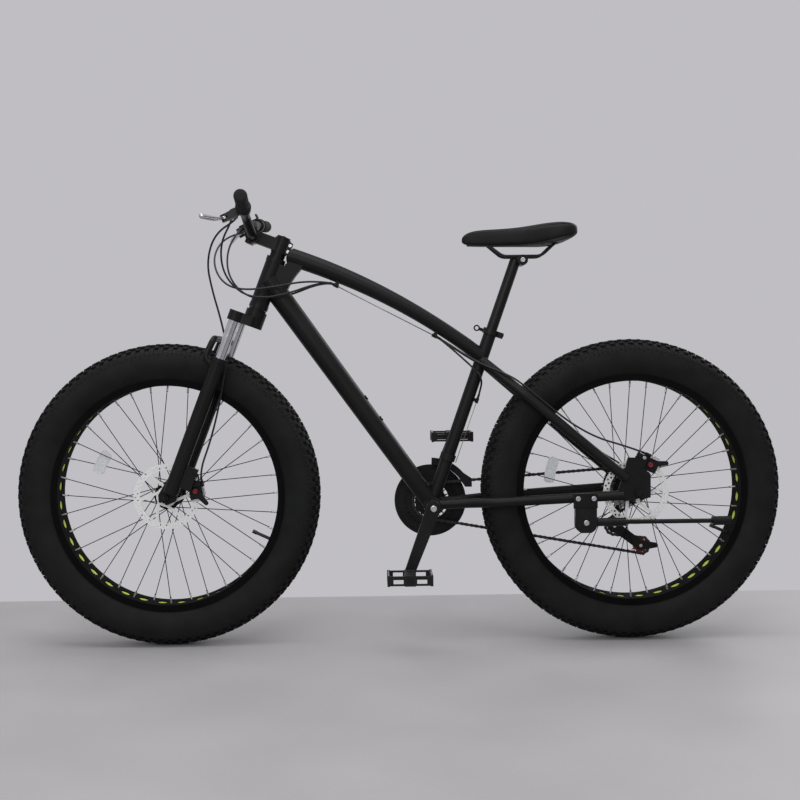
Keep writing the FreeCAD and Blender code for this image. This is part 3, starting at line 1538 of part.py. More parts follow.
def make_quick_lever(pin_x, cam_y, pin_z):
    """The cam lever of the seat collar, lying forward along the right side, with a loop at its tip."""
    hub = upright(pin_x, cam_y, pin_z - cam_height / 2, pin_z + cam_height / 2, cam_radius)
    hub = hub.cut(upright(pin_x, cam_y, pin_z - cam_height, pin_z + cam_height, skewer_radius + running_fit))
    low = Vector(pin_x + skewer_radius + overrun, cam_y - cam_radius, pin_z - quick_lever_width / 2)
    tip_x = pin_x + quick_lever_length
    high = Vector(tip_x, cam_y - cam_radius + quick_lever_thickness, pin_z + quick_lever_width / 2)
    arm = block(low, high)
    y = cam_y - cam_radius
    loop_x = tip_x + quick_loop_bore
    loop = cross_rod(loop_x, pin_z, y, y + quick_lever_thickness, quick_loop_radius)
    eye = cross_rod(loop_x, pin_z, y - overrun, y + quick_lever_thickness + overrun, quick_loop_bore)
    return hub.fuse([arm, loop]).cut([eye, upright(pin_x, cam_y, pin_z - cam_height, pin_z + cam_height,
                                                   skewer_radius + running_fit)]).removeSplitter()


seatpost_top = seat_tube_length - seatpost_inside + seatpost_length
saddle_clamp = seat_point(seatpost_top, -seatpost_head_back, 0)
rail_height = saddle_clamp.z + seatpost_head_radius - rail_radius


def build_seatpost():
    bottom = seat_tube_length - seatpost_inside
    tube = upright(0, 0, bottom, seatpost_top, seatpost_radius)
    hollow = upright(0, 0, bottom - overrun, seatpost_top - seatpost_radius, seatpost_radius - seatpost_wall)
    post = on_seat(tube.cut(hollow))
    head = cross_rod(saddle_clamp.x, saddle_clamp.z, -seatpost_head_half, seatpost_head_half,
                     seatpost_head_radius)
    bridge = plank(seat_point(seatpost_top - seatpost_radius, 0, 0), saddle_clamp, ALONG_Y, seatpost_radius,
                   ALONG_X, seatpost_radius * (3 / 2))
    grooves = []
    for side in SIDES:
        y = side * rail_spread / 2
        grooves.append(rod(Vector(saddle_clamp.x - saddle_length, y, rail_height),
                           Vector(saddle_clamp.x + saddle_length, y, rail_height), rail_radius + seat_gap))
    save("seatpost", post.fuse([head, bridge]).cut(grooves).removeSplitter())


saddle_base_height = rail_height + saddle_lift - rail_radius
saddle_nose_x = saddle_clamp.x + saddle_nose_ahead


def saddle_wire(share, width_share, low_share, high_share, drop, narrow):
    """One cross section of the saddle: flat below, drawn-in sides and a crowned top."""
    x = saddle_nose_x - saddle_length * share
    half = saddle_nose_width / 2 * width_share - narrow
    low = saddle_base_height - saddle_skirt + saddle_height * low_share
    high = saddle_base_height - saddle_skirt + saddle_height * high_share - drop
    waist = low + (high - low) / 3
    shoulder = low + (high - low) * saddle_shoulder_rise_share
    inset = half * saddle_bottom_share
    outset = half * saddle_shoulder_share
    bottom_left = Vector(x, -inset, low)
    bottom_right = Vector(x, inset, low)
    side_right = Vector(x, outset, shoulder)
    side_left = Vector(x, -outset, shoulder)
    edges = [Part.LineSegment(bottom_left, bottom_right).toShape(),
             Part.Arc(bottom_right, Vector(x, half, waist), side_right).toShape(),
             Part.Arc(side_right, Vector(x, 0, high), side_left).toShape(),
             Part.Arc(side_left, Vector(x, -half, waist), bottom_left).toShape()]
    return Part.Wire(edges)


def saddle_core(gap):
    """The hollow under the saddle cover, or with a gap the body that fills it."""
    wires = []
    for share, width, low_share, high_share in saddle_station_shares[1:-1]:
        roof_share = low_share + (high_share - low_share) * saddle_roof_share
        floor_share = low_share - saddle_hollow_share
        wires.append(saddle_wire(share, width, floor_share, roof_share, gap, saddle_shell_thickness + gap))
    return Part.makeLoft(wires, True, False)


def build_saddle():
    cover_outer = Part.makeLoft([saddle_wire(*section, 0, 0) for section in saddle_station_shares], True,
                                False)
    low = saddle_base_height - saddle_skirt
    core = saddle_core(0)
    cover = largest(cover_outer.cut(core))
    save("saddle_cover", cover)
    filling = saddle_core(seat_gap)
    shell = filling.cut(moved_to(filling, Vector(0, 0, -saddle_shell_thickness)))
    rails = []
    shell_middle = low + saddle_height * rail_end_share
    for side in SIDES:
        y = side * rail_spread / 2
        front_back, front_out = rail_front_shares
        rear_back, rear_out = rail_rear_shares
        flat_ahead, flat_back = rail_flat_shares
        route = [Vector(saddle_nose_x - saddle_length * front_back, side * rail_spread * front_out,
                        shell_middle),
                 Vector(saddle_clamp.x + saddle_length * flat_ahead, y, rail_height),
                 Vector(saddle_clamp.x - saddle_length * flat_back, y, rail_height),
                 Vector(saddle_nose_x - saddle_length * rear_back, side * rail_spread * rear_out,
                        shell_middle)]
        rails.append(bent_bar(route, rail_radius, saddle_lift).cut([shell, cover]))
    save("saddle_base", largest(shell), *[largest(rail) for rail in rails])


# Drive train


def pitch_radius(teeth):
    return teeth * chain_pitch / (2 * math.pi)


def sprocket(teeth, middle_y, thickness, bore, gap_angle):
    """A toothed disc about Y with a tooth gap at the given angle from +X towards +Z."""
    radius = pitch_radius(teeth)
    step = 2 * math.pi / teeth
    points = []
    for tooth in range(teeth):
        centre = gap_angle + (tooth + 1 / 2) * step
        for offset, reach in ((-tooth_base / 2, -tooth_root), (-tooth_tip / 2, tooth_height),
                              (tooth_tip / 2, tooth_height), (tooth_base / 2, -tooth_root)):
            level = radius + reach
            angle = centre + offset / level
            points.append((level * math.cos(angle), level * math.sin(angle)))
    disc = flat(points, middle_y - thickness / 2, middle_y + thickness / 2)
    return disc.cut(cross_rod(0, 0, middle_y - thickness, middle_y + thickness, bore))


guide_centre = rear_axle + Vector(guide_ahead, 0, -guide_drop)
cage_turn = math.radians(cage_angle)
tension_centre = guide_centre + Vector(-cage_length * math.cos(cage_turn), 0,
                                       -cage_length * math.sin(cage_turn))


def chain_circles():
    """Centre, signed pitch radius and teeth of each wheel that the chain goes round, in order."""
    cog = freewheel_teeth[chain_cog_index]
    return ((crank_centre, pitch_radius(inner_teeth), inner_teeth), (rear_axle, pitch_radius(cog), cog),
            (guide_centre, -pitch_radius(pulley_teeth), pulley_teeth),
            (tension_centre, pitch_radius(pulley_teeth), pulley_teeth))


def chain_turns(offset):
    """Where the chain meets and leaves each wheel: angle in, angle out, and the run to the next."""
    circles = chain_circles()
    headings = []
    for index, (centre, radius, _) in enumerate(circles):
        following, next_radius = circles[(index + 1) % len(circles)][:2]
        run = following.sub(centre)
        spread = next_radius - radius
        length = math.hypot(run.x, run.z)
        headings.append(math.atan2(run.z, run.x) - math.asin(spread / length))
    turns = []
    for index, (centre, radius, teeth) in enumerate(circles):
        reach = radius + offset
        side = 1 if reach > 0 else -1
        ins = headings[index - 1] - side * math.pi / 2
        outs = headings[index] - side * math.pi / 2
        while side * (outs - ins) < 0:
            outs += side * 2 * math.pi
        turns.append((centre, abs(reach), ins, outs, teeth))
    return turns


def on_circle(centre, radius, angle, y):
    return Vector(centre.x + radius * math.cos(angle), y, centre.z + radius * math.sin(angle))


def chain_loop(offset, y):
    """The closed loop of the chain at a distance outside its pitch line."""
    turns = chain_turns(offset)
    edges = []
    for index, (centre, radius, ins, outs, _) in enumerate(turns):
        first = on_circle(centre, radius, ins, y)
        last = on_circle(centre, radius, outs, y)
        middle = on_circle(centre, radius, (ins + outs) / 2, y)
        edges.append(Part.Arc(first, middle, last).toShape())
        next_centre, next_radius, next_in = turns[(index + 1) % len(turns)][:3]
        edges.append(Part.LineSegment(last, on_circle(next_centre, next_radius, next_in, y)).toShape())
    return Part.Wire(edges)


def gap_angles():
    """For each chain wheel, the angle of the tooth gap at the middle of its wrap."""
    return [(turn[2] + turn[3]) / 2 for turn in chain_turns(0)]


def roller_places():
    """Roller centres: in the tooth gaps on each wheel, evenly spaced on the runs between."""
    turns = chain_turns(0)
    wraps = []
    for centre, radius, ins, outs, teeth in turns:
        step = 2 * math.pi / teeth * (1 if outs > ins else -1)
        half = int(abs(outs - ins) / 2 / abs(step))
        middle = (ins + outs) / 2
        wraps.append([(centre, radius, middle + step * place) for place in range(-half, half + 1)])
    places = []
    for index, wrap in enumerate(wraps):
        places += [on_circle(centre, radius, angle, -chain_line) for centre, radius, angle in wrap]
        start = on_circle(*wrap[-1], -chain_line)
        finish = on_circle(*wraps[(index + 1) % len(wraps)][0], -chain_line)
        count = round(finish.sub(start).Length / chain_pitch)
        outs_point = on_circle(turns[index][0], turns[index][1], turns[index][3], -chain_line)
        following = turns[(index + 1) % len(turns)]
        ins_point = on_circle(following[0], following[1], following[2], -chain_line)
        run = ins_point.sub(outs_point)
        length = run.Length
        run.normalize()
        lead = outs_point.sub(start).Length
        total = lead + length + finish.sub(ins_point).Length
        for step in range(1, count):
            along = total * step / count - lead
            if 0 <= along <= length:
                places.append(outs_point + run * along)
    return places


def build_chain():
    half = chain_plate_height / 2
    plates = []
    for side in SIDES:
        y = -chain_line + side * chain_inner_half
        through = Vector(0, side * chain_plate_thickness, 0)
        outside = Part.Face(chain_loop(half, y)).extrude(through)
        inside = Part.Face(chain_loop(-half, y)).extrude(through)
        plates.append(outside.cut(inside))
    rollers = []
    for place in roller_places():
        rollers.append(cross_rod(place.x, place.z, -chain_line - chain_inner_half,
                                 -chain_line + chain_inner_half,
                                 roller_radius))
    save("chain", *plates, *rollers)


def build_cranks():
    gaps = gap_angles()
    spindle_end = crank_inner + crank_thickness
    spindle = cross_rod(0, 0, -spindle_end, spindle_end, spindle_radius)
    bolts = [cross_rod(0, 0, side * spindle_end, side * (spindle_end + crank_bolt_head), crank_bolt_radius)
             for side in SIDES]
    axles = []
    for side in SIDES:
        x, z = 0, -side * crank_length
        start = side * (crank_inner + crank_thickness / 4)
        finish = side * (crank_inner + crank_thickness + pedal_gap + pedal_axle_length)
        axles.append(cross_rod(x, z, start, finish, pedal_axle_radius))
    placed = [set_crank(solid) for solid in [spindle.fuse(bolts).removeSplitter()] + axles]
    save("crank_spindle", *placed)
    arms = [make_arm(side) for side in SIDES]
    save("crank_arms", *[set_crank(arm) for arm in arms])
    save("chainrings", *[moved_to(solid, crank_centre) for solid in make_rings(gaps[0])])
    for side, name in ((1, "left"), (-1, "right")):
        save(name + "_pedal", make_pedal(side))


def set_crank(shape):
    return moved_to(turned(shape, -crank_angle), crank_centre)


def make_arm(side):
    """One crank arm; the right one carries the spider for the rings."""
    near = side * crank_inner
    far = side * (crank_inner + crank_thickness)
    arm = strap(((0, 0), (0, -side * crank_length)), (crank_hub_radius, crank_eye_radius), near, far)
    hub = cross_rod(0, 0, side * crank_hub_inner, near, crank_hub_radius)
    pieces = [hub]
    cuts = [cross_rod(0, 0, -wheelbase, wheelbase, spindle_radius + seat_gap),
            cross_rod(0, -side * crank_length, side * (crank_inner + crank_thickness / 4), side * wheelbase,
                      pedal_axle_radius + seat_gap)]
    if side < 0:
        low = outer_ring_line + cog_thickness / 2
        high = middle_ring_line - cog_thickness / 2
        for angle in spider_angles():
            spoke = block(Vector(-spider_arm_width / 2, low, 0),
                          Vector(spider_arm_width / 2, high, spider_radius))
            pieces.append(turned(spoke, angle))
            hole = cross_rod(0, spider_bolt_circle, low - overrun, high + overrun,
                             spider_bolt_radius + seat_gap)
            cuts.append(turned(hole, angle))
            post = cross_rod(0, inner_bolt_circle, high, inner_ring_line - cog_thickness / 2,
                             spider_bolt_radius)
            pieces.append(turned(post, angle))
    return arm.fuse(pieces).cut(cuts).removeSplitter()


def spider_angles():
    return [FULL_TURN * step / spider_arms for step in range(spider_arms)]


def make_rings(gap_angle):
    """Three chainrings, their bolts and the chain guard on its posts."""
    rings = [sprocket(inner_teeth, inner_ring_line, cog_thickness, inner_ring_bore, gap_angle),
             sprocket(middle_teeth, middle_ring_line, cog_thickness, outer_ring_bore, gap_angle),
             sprocket(outer_teeth, outer_ring_line, cog_thickness, outer_ring_bore, gap_angle)]
    bolts = []
    back = outer_ring_line - cog_thickness / 2
    front = middle_ring_line + cog_thickness / 2
    holes = []
    for angle in spider_angles():
        shank = cross_rod(0, spider_bolt_circle, back, front, spider_bolt_radius)
        head = cross_rod(0, spider_bolt_circle, back - spider_bolt_head, back, spider_bolt_radius * (3 / 2))
        tail = cross_rod(0, spider_bolt_circle, front, front + spider_bolt_head / 2,
                         spider_bolt_radius * (3 / 2))
        bolts.append(turned(turned(shank.fuse([head, tail]).removeSplitter(), angle), -crank_angle))
        hole = cross_rod(0, spider_bolt_circle, back - overrun, front + overrun,
                         spider_bolt_radius + seat_gap)
        holes.append(turned(turned(hole, angle), -crank_angle))
    rings = [rings[0], rings[1].cut(holes), rings[2].cut(holes)]
    post_end = back - spider_bolt_head - face_gap
    guard = spun([(post_end, guard_inner), (post_end, guard_outer),
                  (post_end - guard_thickness, guard_outer),
                  (post_end - guard_thickness, guard_inner)])
    posts = ring_of(cross_rod(0, guard_post_circle, back, post_end, guard_post_radius), spider_arms)
    return rings + bolts + [guard.fuse(posts).removeSplitter()]


def pedal_centre(side):
    angle = math.radians(crank_angle)
    reach = Vector(math.sin(angle), 0, -math.cos(angle)) * (side * crank_length)
    return crank_centre + reach


def make_pedal(side):
    """A cage pedal: a barrel on the axle, a frame round it and ribs across the windows."""
    start = crank_inner + crank_thickness + pedal_gap
    finish = start + pedal_width
    half_length = pedal_length / 2
    half_height = pedal_height / 2
    frame = block(Vector(-half_length, start, -half_height), Vector(half_length, finish, half_height))
    wall = pedal_wall
    window = block(Vector(-half_length + wall, start + wall, -half_height - overrun),
                   Vector(half_length - wall, finish - wall, half_height + overrun))
    barrel = cross_rod(0, 0, start, finish, pedal_barrel_radius)
    rib_y = (start + finish) / 2
    ribs = block(Vector(-half_length + wall / 2, rib_y - pedal_rib_width / 2, -half_height + overrun),
                 Vector(half_length - wall / 2, rib_y + pedal_rib_width / 2, half_height - overrun))
    sides = []
    for end in SIDES:
        x = end * (half_length - wall / 2)
        for level in (start + pedal_width / 4, finish - pedal_width / 4):
            sides.append(rod(Vector(x - wall, level, 0), Vector(x + wall, level, 0), pedal_height / 5))
    bore = cross_rod(0, 0, start - overrun, finish + overrun, pedal_axle_radius + running_fit)
    pedal = frame.cut(window).fuse([barrel, ribs]).cut(sides + [bore]).removeSplitter()
    if side < 0:
        pedal = other_side(pedal)
    return moved_to(pedal, pedal_centre(side))


def build_freewheel():
    gap = gap_angles()[1]
    start = -chain_line + chain_cog_index * cog_spacing
    cogs = []
    for step, teeth in enumerate(freewheel_teeth):
        cogs.append(sprocket(teeth, start - step * cog_spacing, cog_thickness, hub_radius + running_fit * 2,
                             gap))
    end = start - (len(freewheel_teeth) - 1) * cog_spacing
    body = cross_rod(0, 0, start + cog_spacing / 2, end - cog_thickness, freewheel_body_radius)
    body = body.cut(cross_rod(0, 0, -wheelbase, wheelbase, hub_radius + running_fit))
    freewheel = body.fuse(cogs).removeSplitter()
    save("freewheel", moved_to(freewheel, rear_axle))


def build_derailleurs():
    gaps = gap_angles()
    for name, centre, gap in (("guide_pulley", guide_centre, gaps[2]),
                              ("tension_pulley", tension_centre, gaps[3])):
        teeth = sprocket(pulley_teeth, -chain_line, cog_thickness, pulley_pin_radius + running_fit, gap)
        hub_radius_here = pitch_radius(pulley_teeth) * pulley_web_share
        hub = cross_rod(0, 0, -chain_line - pulley_half, -chain_line + pulley_half, hub_radius_here)
        hub = hub.cut(cross_rod(0, 0, -wheelbase, wheelbase, pulley_pin_radius + running_fit))
        save(name, moved_to(teeth.fuse(hub).removeSplitter(), centre))
    save("derailleur_cage", *make_cage())
    save("derailleur_knuckle", make_knuckle())
    save("derailleur_mount", make_mount())
    build_front_mech()


def make_cage():
    """Two cage plates joined by the pulley bolts and a tail post."""
    plates = []
    run = tension_centre.sub(guide_centre)
    run.normalize()
    tail = tension_centre + Vector(-cage_tail_length, 0, 0)
    pins = []
    outer = -chain_line - cage_half_gap - cage_plate
    inner = -chain_line + cage_half_gap + cage_plate
    for low, high in ((outer, outer + cage_plate), (inner - cage_plate, inner)):
        plate = strap(((guide_centre.x, guide_centre.z), (tension_centre.x, tension_centre.z)),
                      (cage_guide_radius, cage_tension_radius), low, high)
        tab = strap(((tension_centre.x, tension_centre.z), (tail.x, tail.z)),
                    (cage_tension_radius, cage_tail_radius), low, high)
        plates += [plate, tab]
    for centre in (guide_centre, tension_centre):
        pins.append(cross_rod(centre.x, centre.z, outer, inner, pulley_pin_radius))
    pins.append(cross_rod(tail.x, tail.z, outer, inner, pulley_pin_radius))
    return [plates[0].fuse(plates[1:] + pins).removeSplitter()]


slide_place = rear_axle + Vector(slide_ahead, 0, -slide_drop)


def make_knuckle():
    """The outer knuckle of the rear derailleur, with the rod that it slides in and out on."""
    face = -chain_line - cage_half_gap - cage_plate - face_gap
    body = cross_rod(guide_centre.x, guide_centre.z, face, face - knuckle_length, knuckle_radius)
    link_y = face - knuckle_length
    link = strap(((guide_centre.x, guide_centre.z), (slide_place.x, slide_place.z)),
                 (knuckle_radius, slide_eye_radius), link_y, link_y - link_thickness)
    eye_end = -rear_dropout_gap / 2 - dropout_thickness - mount_length
    slide = cross_rod(slide_place.x, slide_place.z, link_y, eye_end - rod_overhang, slide_rod_radius)
    return body.fuse([link, slide]).removeSplitter()


def make_mount():
    """The hanger bolt of the rear derailleur and the arm with the eye that the knuckle slides in."""
    dropout_inner = -rear_dropout_gap / 2
    dropout_outer = dropout_inner - dropout_thickness
    end = dropout_outer - mount_length
    bolt = cross_rod(hanger_hole.x, hanger_hole.z, dropout_inner, dropout_outer - washer_height,
                     hanger_bolt_radius)
    head = cross_rod(hanger_hole.x, hanger_hole.z, dropout_outer, end, mount_radius)
    arm = strap(((hanger_hole.x, hanger_hole.z), (slide_place.x, slide_place.z)),
                (mount_radius, slide_eye_radius),
                end + mount_arm, end)
    eye = cross_rod(slide_place.x, slide_place.z, -wheelbase, wheelbase, slide_rod_radius + running_fit)
    return bolt.fuse([head, arm]).cut(eye).removeSplitter()


def build_front_mech():
    """Front derailleur: a clamp on the seat tube with an arm, and the cage round the chain."""
    low = front_mech_station - front_mech_height / 2
    high = front_mech_station + front_mech_height / 2
    band = upright(0, 0, low, high, front_mech_ring)
    arm = block(Vector(-front_mech_bar, -chain_line + front_mech_half_gap + front_mech_plate * 2, low),
                Vector(front_mech_bar, 0, high))
    bore = cross_rod(0, front_mech_station, -wheelbase, -seat_tube_radius,
                     front_mech_guide_radius + running_fit)
    clamp = band.fuse(arm).cut([upright(0, 0, low - overrun, high + overrun, seat_tube_radius + seat_gap),
                                bore])
    save("front_derailleur_clamp", on_seat(largest(clamp)))
    inner_radius = pitch_radius(outer_teeth) + tooth_height + front_mech_clearance
    outer_radius = inner_radius + front_mech_depth
    start, finish = math.radians(front_mech_start), math.radians(front_mech_finish)

    def spot(radius, angle):
        return (crank_centre.x + radius * math.cos(angle), crank_centre.z + radius * math.sin(angle))

    middle = (start + finish) / 2
    tail_x = spot(outer_radius, finish)[0]
    tail_low = crank_centre.z + pitch_radius(inner_teeth) - front_mech_tail_drop
    inner_arc = [spot(inner_radius, start), spot(inner_radius, middle), spot(inner_radius, finish)]
    outer_arc = [spot(outer_radius, finish), spot(outer_radius, middle), spot(outer_radius, start)]
    tail = [(inner_arc[2][0] - front_mech_tail_gap, tail_low), (tail_x - front_mech_tail / 2, tail_low),
            (tail_x - front_mech_tail / 2, tail_low + front_mech_tail / 2)]
    solids = []
    inner_y = -chain_line + front_mech_half_gap
    outer_y = -chain_line - front_mech_half_gap
    for y_start, y_end in ((inner_y, inner_y + front_mech_plate), (outer_y - front_mech_plate, outer_y)):
        edges = [Part.Arc(*[Vector(x, y_start, z) for x, z in inner_arc]).toShape()]
        corners = [inner_arc[2]] + tail + [outer_arc[0]]
        for first, last in zip(corners, corners[1:]):
            edges.append(Part.LineSegment(Vector(first[0], y_start, first[1]),
                                          Vector(last[0], y_start, last[1])).toShape())
        edges.append(Part.Arc(*[Vector(x, y_start, z) for x, z in outer_arc]).toShape())
        edges.append(Part.LineSegment(Vector(outer_arc[2][0], y_start, outer_arc[2][1]),
                                      Vector(inner_arc[0][0], y_start, inner_arc[0][1])).toShape())
        face = Part.Face(Part.Wire(edges))
        solids.append(face.extrude(Vector(0, y_end - y_start, 0)))
    bridge_at = spot((inner_radius + outer_radius) / 2, start + (middle - start) / 4)
    bridges = [cross_rod(bridge_at[0], bridge_at[1], outer_y, inner_y, front_mech_guide_radius)]
    tail_at = (tail_x - front_mech_tail / 2 + front_mech_guide_radius * 2,
               tail_low + front_mech_guide_radius)
    bridges.append(cross_rod(tail_at[0], tail_at[1], outer_y, inner_y, front_mech_guide_radius / 2))
    pivot = seat_point(front_mech_station, 0, 0)
    reach = pivot.sub(crank_centre)
    root = crank_centre + reach * ((inner_radius + outer_radius) / 2 / reach.Length)
    ear = strap(((pivot.x, pivot.z), (root.x, root.z)), (front_mech_bar, front_mech_bar), inner_y,
                inner_y + front_mech_plate)
    slide = cross_rod(pivot.x, pivot.z, inner_y, inner_y + front_mech_plate + front_mech_rod,
                      front_mech_guide_radius)
    save("front_derailleur_cage", solids[0].fuse(solids[1:] + bridges + [ear, slide]).removeSplitter())


# Brake calipers


def make_caliper(rotor_face, lug_face):
    """A caliper above the axle, drawn with its middle straight up; the lug meets a mounting face."""
    rotor_middle = rotor_face + rotor_thickness / 2
    inner = rotor_middle - caliper_inner_half
    outer = rotor_middle + caliper_outer_half
    low = caliper_radius - caliper_half_depth
    high = caliper_radius + caliper_half_depth
    body = block(Vector(-caliper_half_length, inner, low), Vector(caliper_half_length, outer, high))
    lug_end = caliper_lug_start + caliper_lug_length
    lug = block(Vector(caliper_lug_start, lug_face - caliper_lug, high - caliper_lug_width),
                Vector(lug_end, lug_face, high))
    neck = block(Vector(caliper_lug_start, rotor_middle + caliper_slot, high - caliper_lug_width / 2),
                 Vector(caliper_half_length, lug_face, high))
    arm_middle = outer + face_gap + caliper_arm_thickness / 2
    stop_level = caliper_radius + caliper_arm_rise
    stop_end = caliper_stop_start + stop_length
    stop = rod(Vector(caliper_stop_start, arm_middle, stop_level), Vector(stop_end, arm_middle, stop_level),
               stop_radius)
    foot = block(Vector(caliper_stop_start, rotor_middle + caliper_slot, high - stop_radius),
                 Vector(stop_end, arm_middle, stop_level))
    stop_bore = rod(Vector(-wheelbase, arm_middle, stop_level), Vector(wheelbase, arm_middle, stop_level),
                    wire_radius + seat_gap)
    slot = block(Vector(-wheelbase, rotor_middle - caliper_slot / 2, 0),
                 Vector(wheelbase, rotor_middle + caliper_slot / 2, rotor_radius + overrun))
    pin = cross_rod(0, caliper_radius, outer, outer + face_gap + caliper_arm_thickness + face_gap,
                    caliper_pin_radius)
    knob_y = inner - caliper_knob_height
    knob = cross_rod(0, caliper_radius, knob_y, inner, caliper_knob_radius)
    caliper = body.fuse([lug, neck, pin, knob, stop, foot]).cut([slot, stop_bore])
    arm = strap(((0, caliper_radius), (-caliper_arm_reach, caliper_radius + caliper_arm_rise)),
                (caliper_arm_radius, caliper_arm_tip_radius), outer + face_gap,
                outer + face_gap + caliper_arm_thickness)
    arm = arm.cut(cross_rod(0, caliper_radius, inner, outer + wheelbase, caliper_pin_radius + running_fit))
    return caliper.removeSplitter(), arm


def build_brakes():
    boss_face = leg_half - brake_boss_width / 2
    caliper, arm = make_caliper(front_hub_left, boss_face)
    axle = Vector(fork_rake, 0, 0)
    save("front_caliper", on_fork(moved_to(turned(caliper, -front_caliper_turn), axle)))
    save("front_caliper_arm", on_fork(moved_to(turned(arm, -front_caliper_turn), axle)))
    caliper, arm = make_caliper(rear_hub_left, rear_dropout_gap / 2)
    save("rear_caliper", moved_to(turned(caliper, -rear_caliper_turn), rear_axle))
    save("rear_caliper_arm", moved_to(turned(arm, -rear_caliper_turn), rear_axle))


# Cables


def caliper_entry(turn, axle, rotor_face):
    """Where a housing meets a caliper's stop, the direction it comes from, and the arm's end."""
    arm_middle = rotor_face + rotor_thickness / 2 + caliper_outer_half + face_gap + caliper_arm_thickness / 2
    level = caliper_radius + caliper_arm_rise
    entry = turned_point(Vector(caliper_stop_start + stop_length + seat_gap, arm_middle, level), -turn)
    tip = Vector(-caliper_arm_reach / 2, arm_middle, level)
    return axle + entry, turned_point(ALONG_X, -turn), axle + turned_point(tip, -turn)


def run_housing(name, points):
    """A housing through hand-chosen points; its length and bend radii are printed."""
    wire, bends = rounded_wire(points, housing_bend, housing_end_share)
    housing = swept(wire, housing_radius)
    print(name, "length", round(wire.Length), "radii", [round(bend) for bend in bends])
    return housing


def build_cables():
    front_stops, rear_stops = stop_places()
    left_brake, left_shift, left_way = housing_starts(1)
    right_brake, right_shift, right_way = housing_starts(-1)
    outs = []
    ins = []
    wires = []
    for front, rear in zip(front_stops, rear_stops):
        run = rear.sub(front)
        run.normalize()
        gap = stop_length / 2 + seat_gap
        outs.append((front - run * gap, front - run * (gap + housing_lead)))
        ins.append((rear + run * gap, rear + run * (gap + housing_lead)))
        wires.append(rod(front - run * gap, rear + run * gap, wire_radius))
    brake_loop = [right_brake, right_brake + right_way * housing_reach] + vectors(rear_brake_loop)
    front_shift_route = [left_shift, left_shift + left_way * housing_reach] + vectors(shift_loop)
    right_loop = [opposite(point) for point in vectors(shift_loop)]
    rear_shift_route = [right_shift, right_shift + right_way * housing_reach] + right_loop
    entry, from_way, arm_tip = caliper_entry(rear_caliper_turn, rear_axle, rear_hub_left)
    seat_stop = seat_stop_place()
    stop_top = seat_stop + seat_up * (stop_length / 2 + seat_gap)
    wire_drop = seat_tube_length * seat_stop_share - front_mech_station + front_mech_height / 2
    mech = seat_stop - seat_up * wire_drop
    right_stay = [opposite(point) for point in vectors(stay_route[:-1])]
    solids = wires + [
        run_housing("rear brake front housing", brake_loop + list(outs[0][::-1])),
        run_housing("front shift front housing", front_shift_route + list(outs[1][::-1])),
        run_housing("rear shift front housing", rear_shift_route + list(outs[2][::-1])),
        run_housing("rear brake rear housing", list(ins[0]) + vectors(stay_route) +
                    [entry + from_way * housing_reach, entry]),
        run_housing("front shift rear housing", list(ins[1]) + vectors(seat_tube_route) +
                    [stop_top + seat_up * housing_lead, stop_top]),
        run_housing("rear shift rear housing", list(ins[2]) + right_stay + vectors(derailleur_route)),
        rod(stop_top, mech, wire_radius),
        rod(entry, arm_tip, wire_radius),
    ]
    save("control_cables", *solids)
    local_axle = Vector(fork_rake, 0, 0)
    entry, from_way, arm_tip = caliper_entry(front_caliper_turn, local_axle, front_hub_left)
    before = entry + from_way * housing_reach
    entry, before, arm_tip = [steer_point(place.z, place.x, place.y) for place in (entry, before, arm_tip)]
    start = [left_brake, left_brake + left_way * housing_reach]
    route = start + vectors(front_brake_route) + [before, entry]
    save("front_brake_cable", run_housing("front brake housing", route), rod(entry, arm_tip, wire_radius))


def vectors(points):
    return [Vector(*point) for point in points]


def opposite(point):
    return Vector(point.x, -point.y, point.z)


# Kickstand


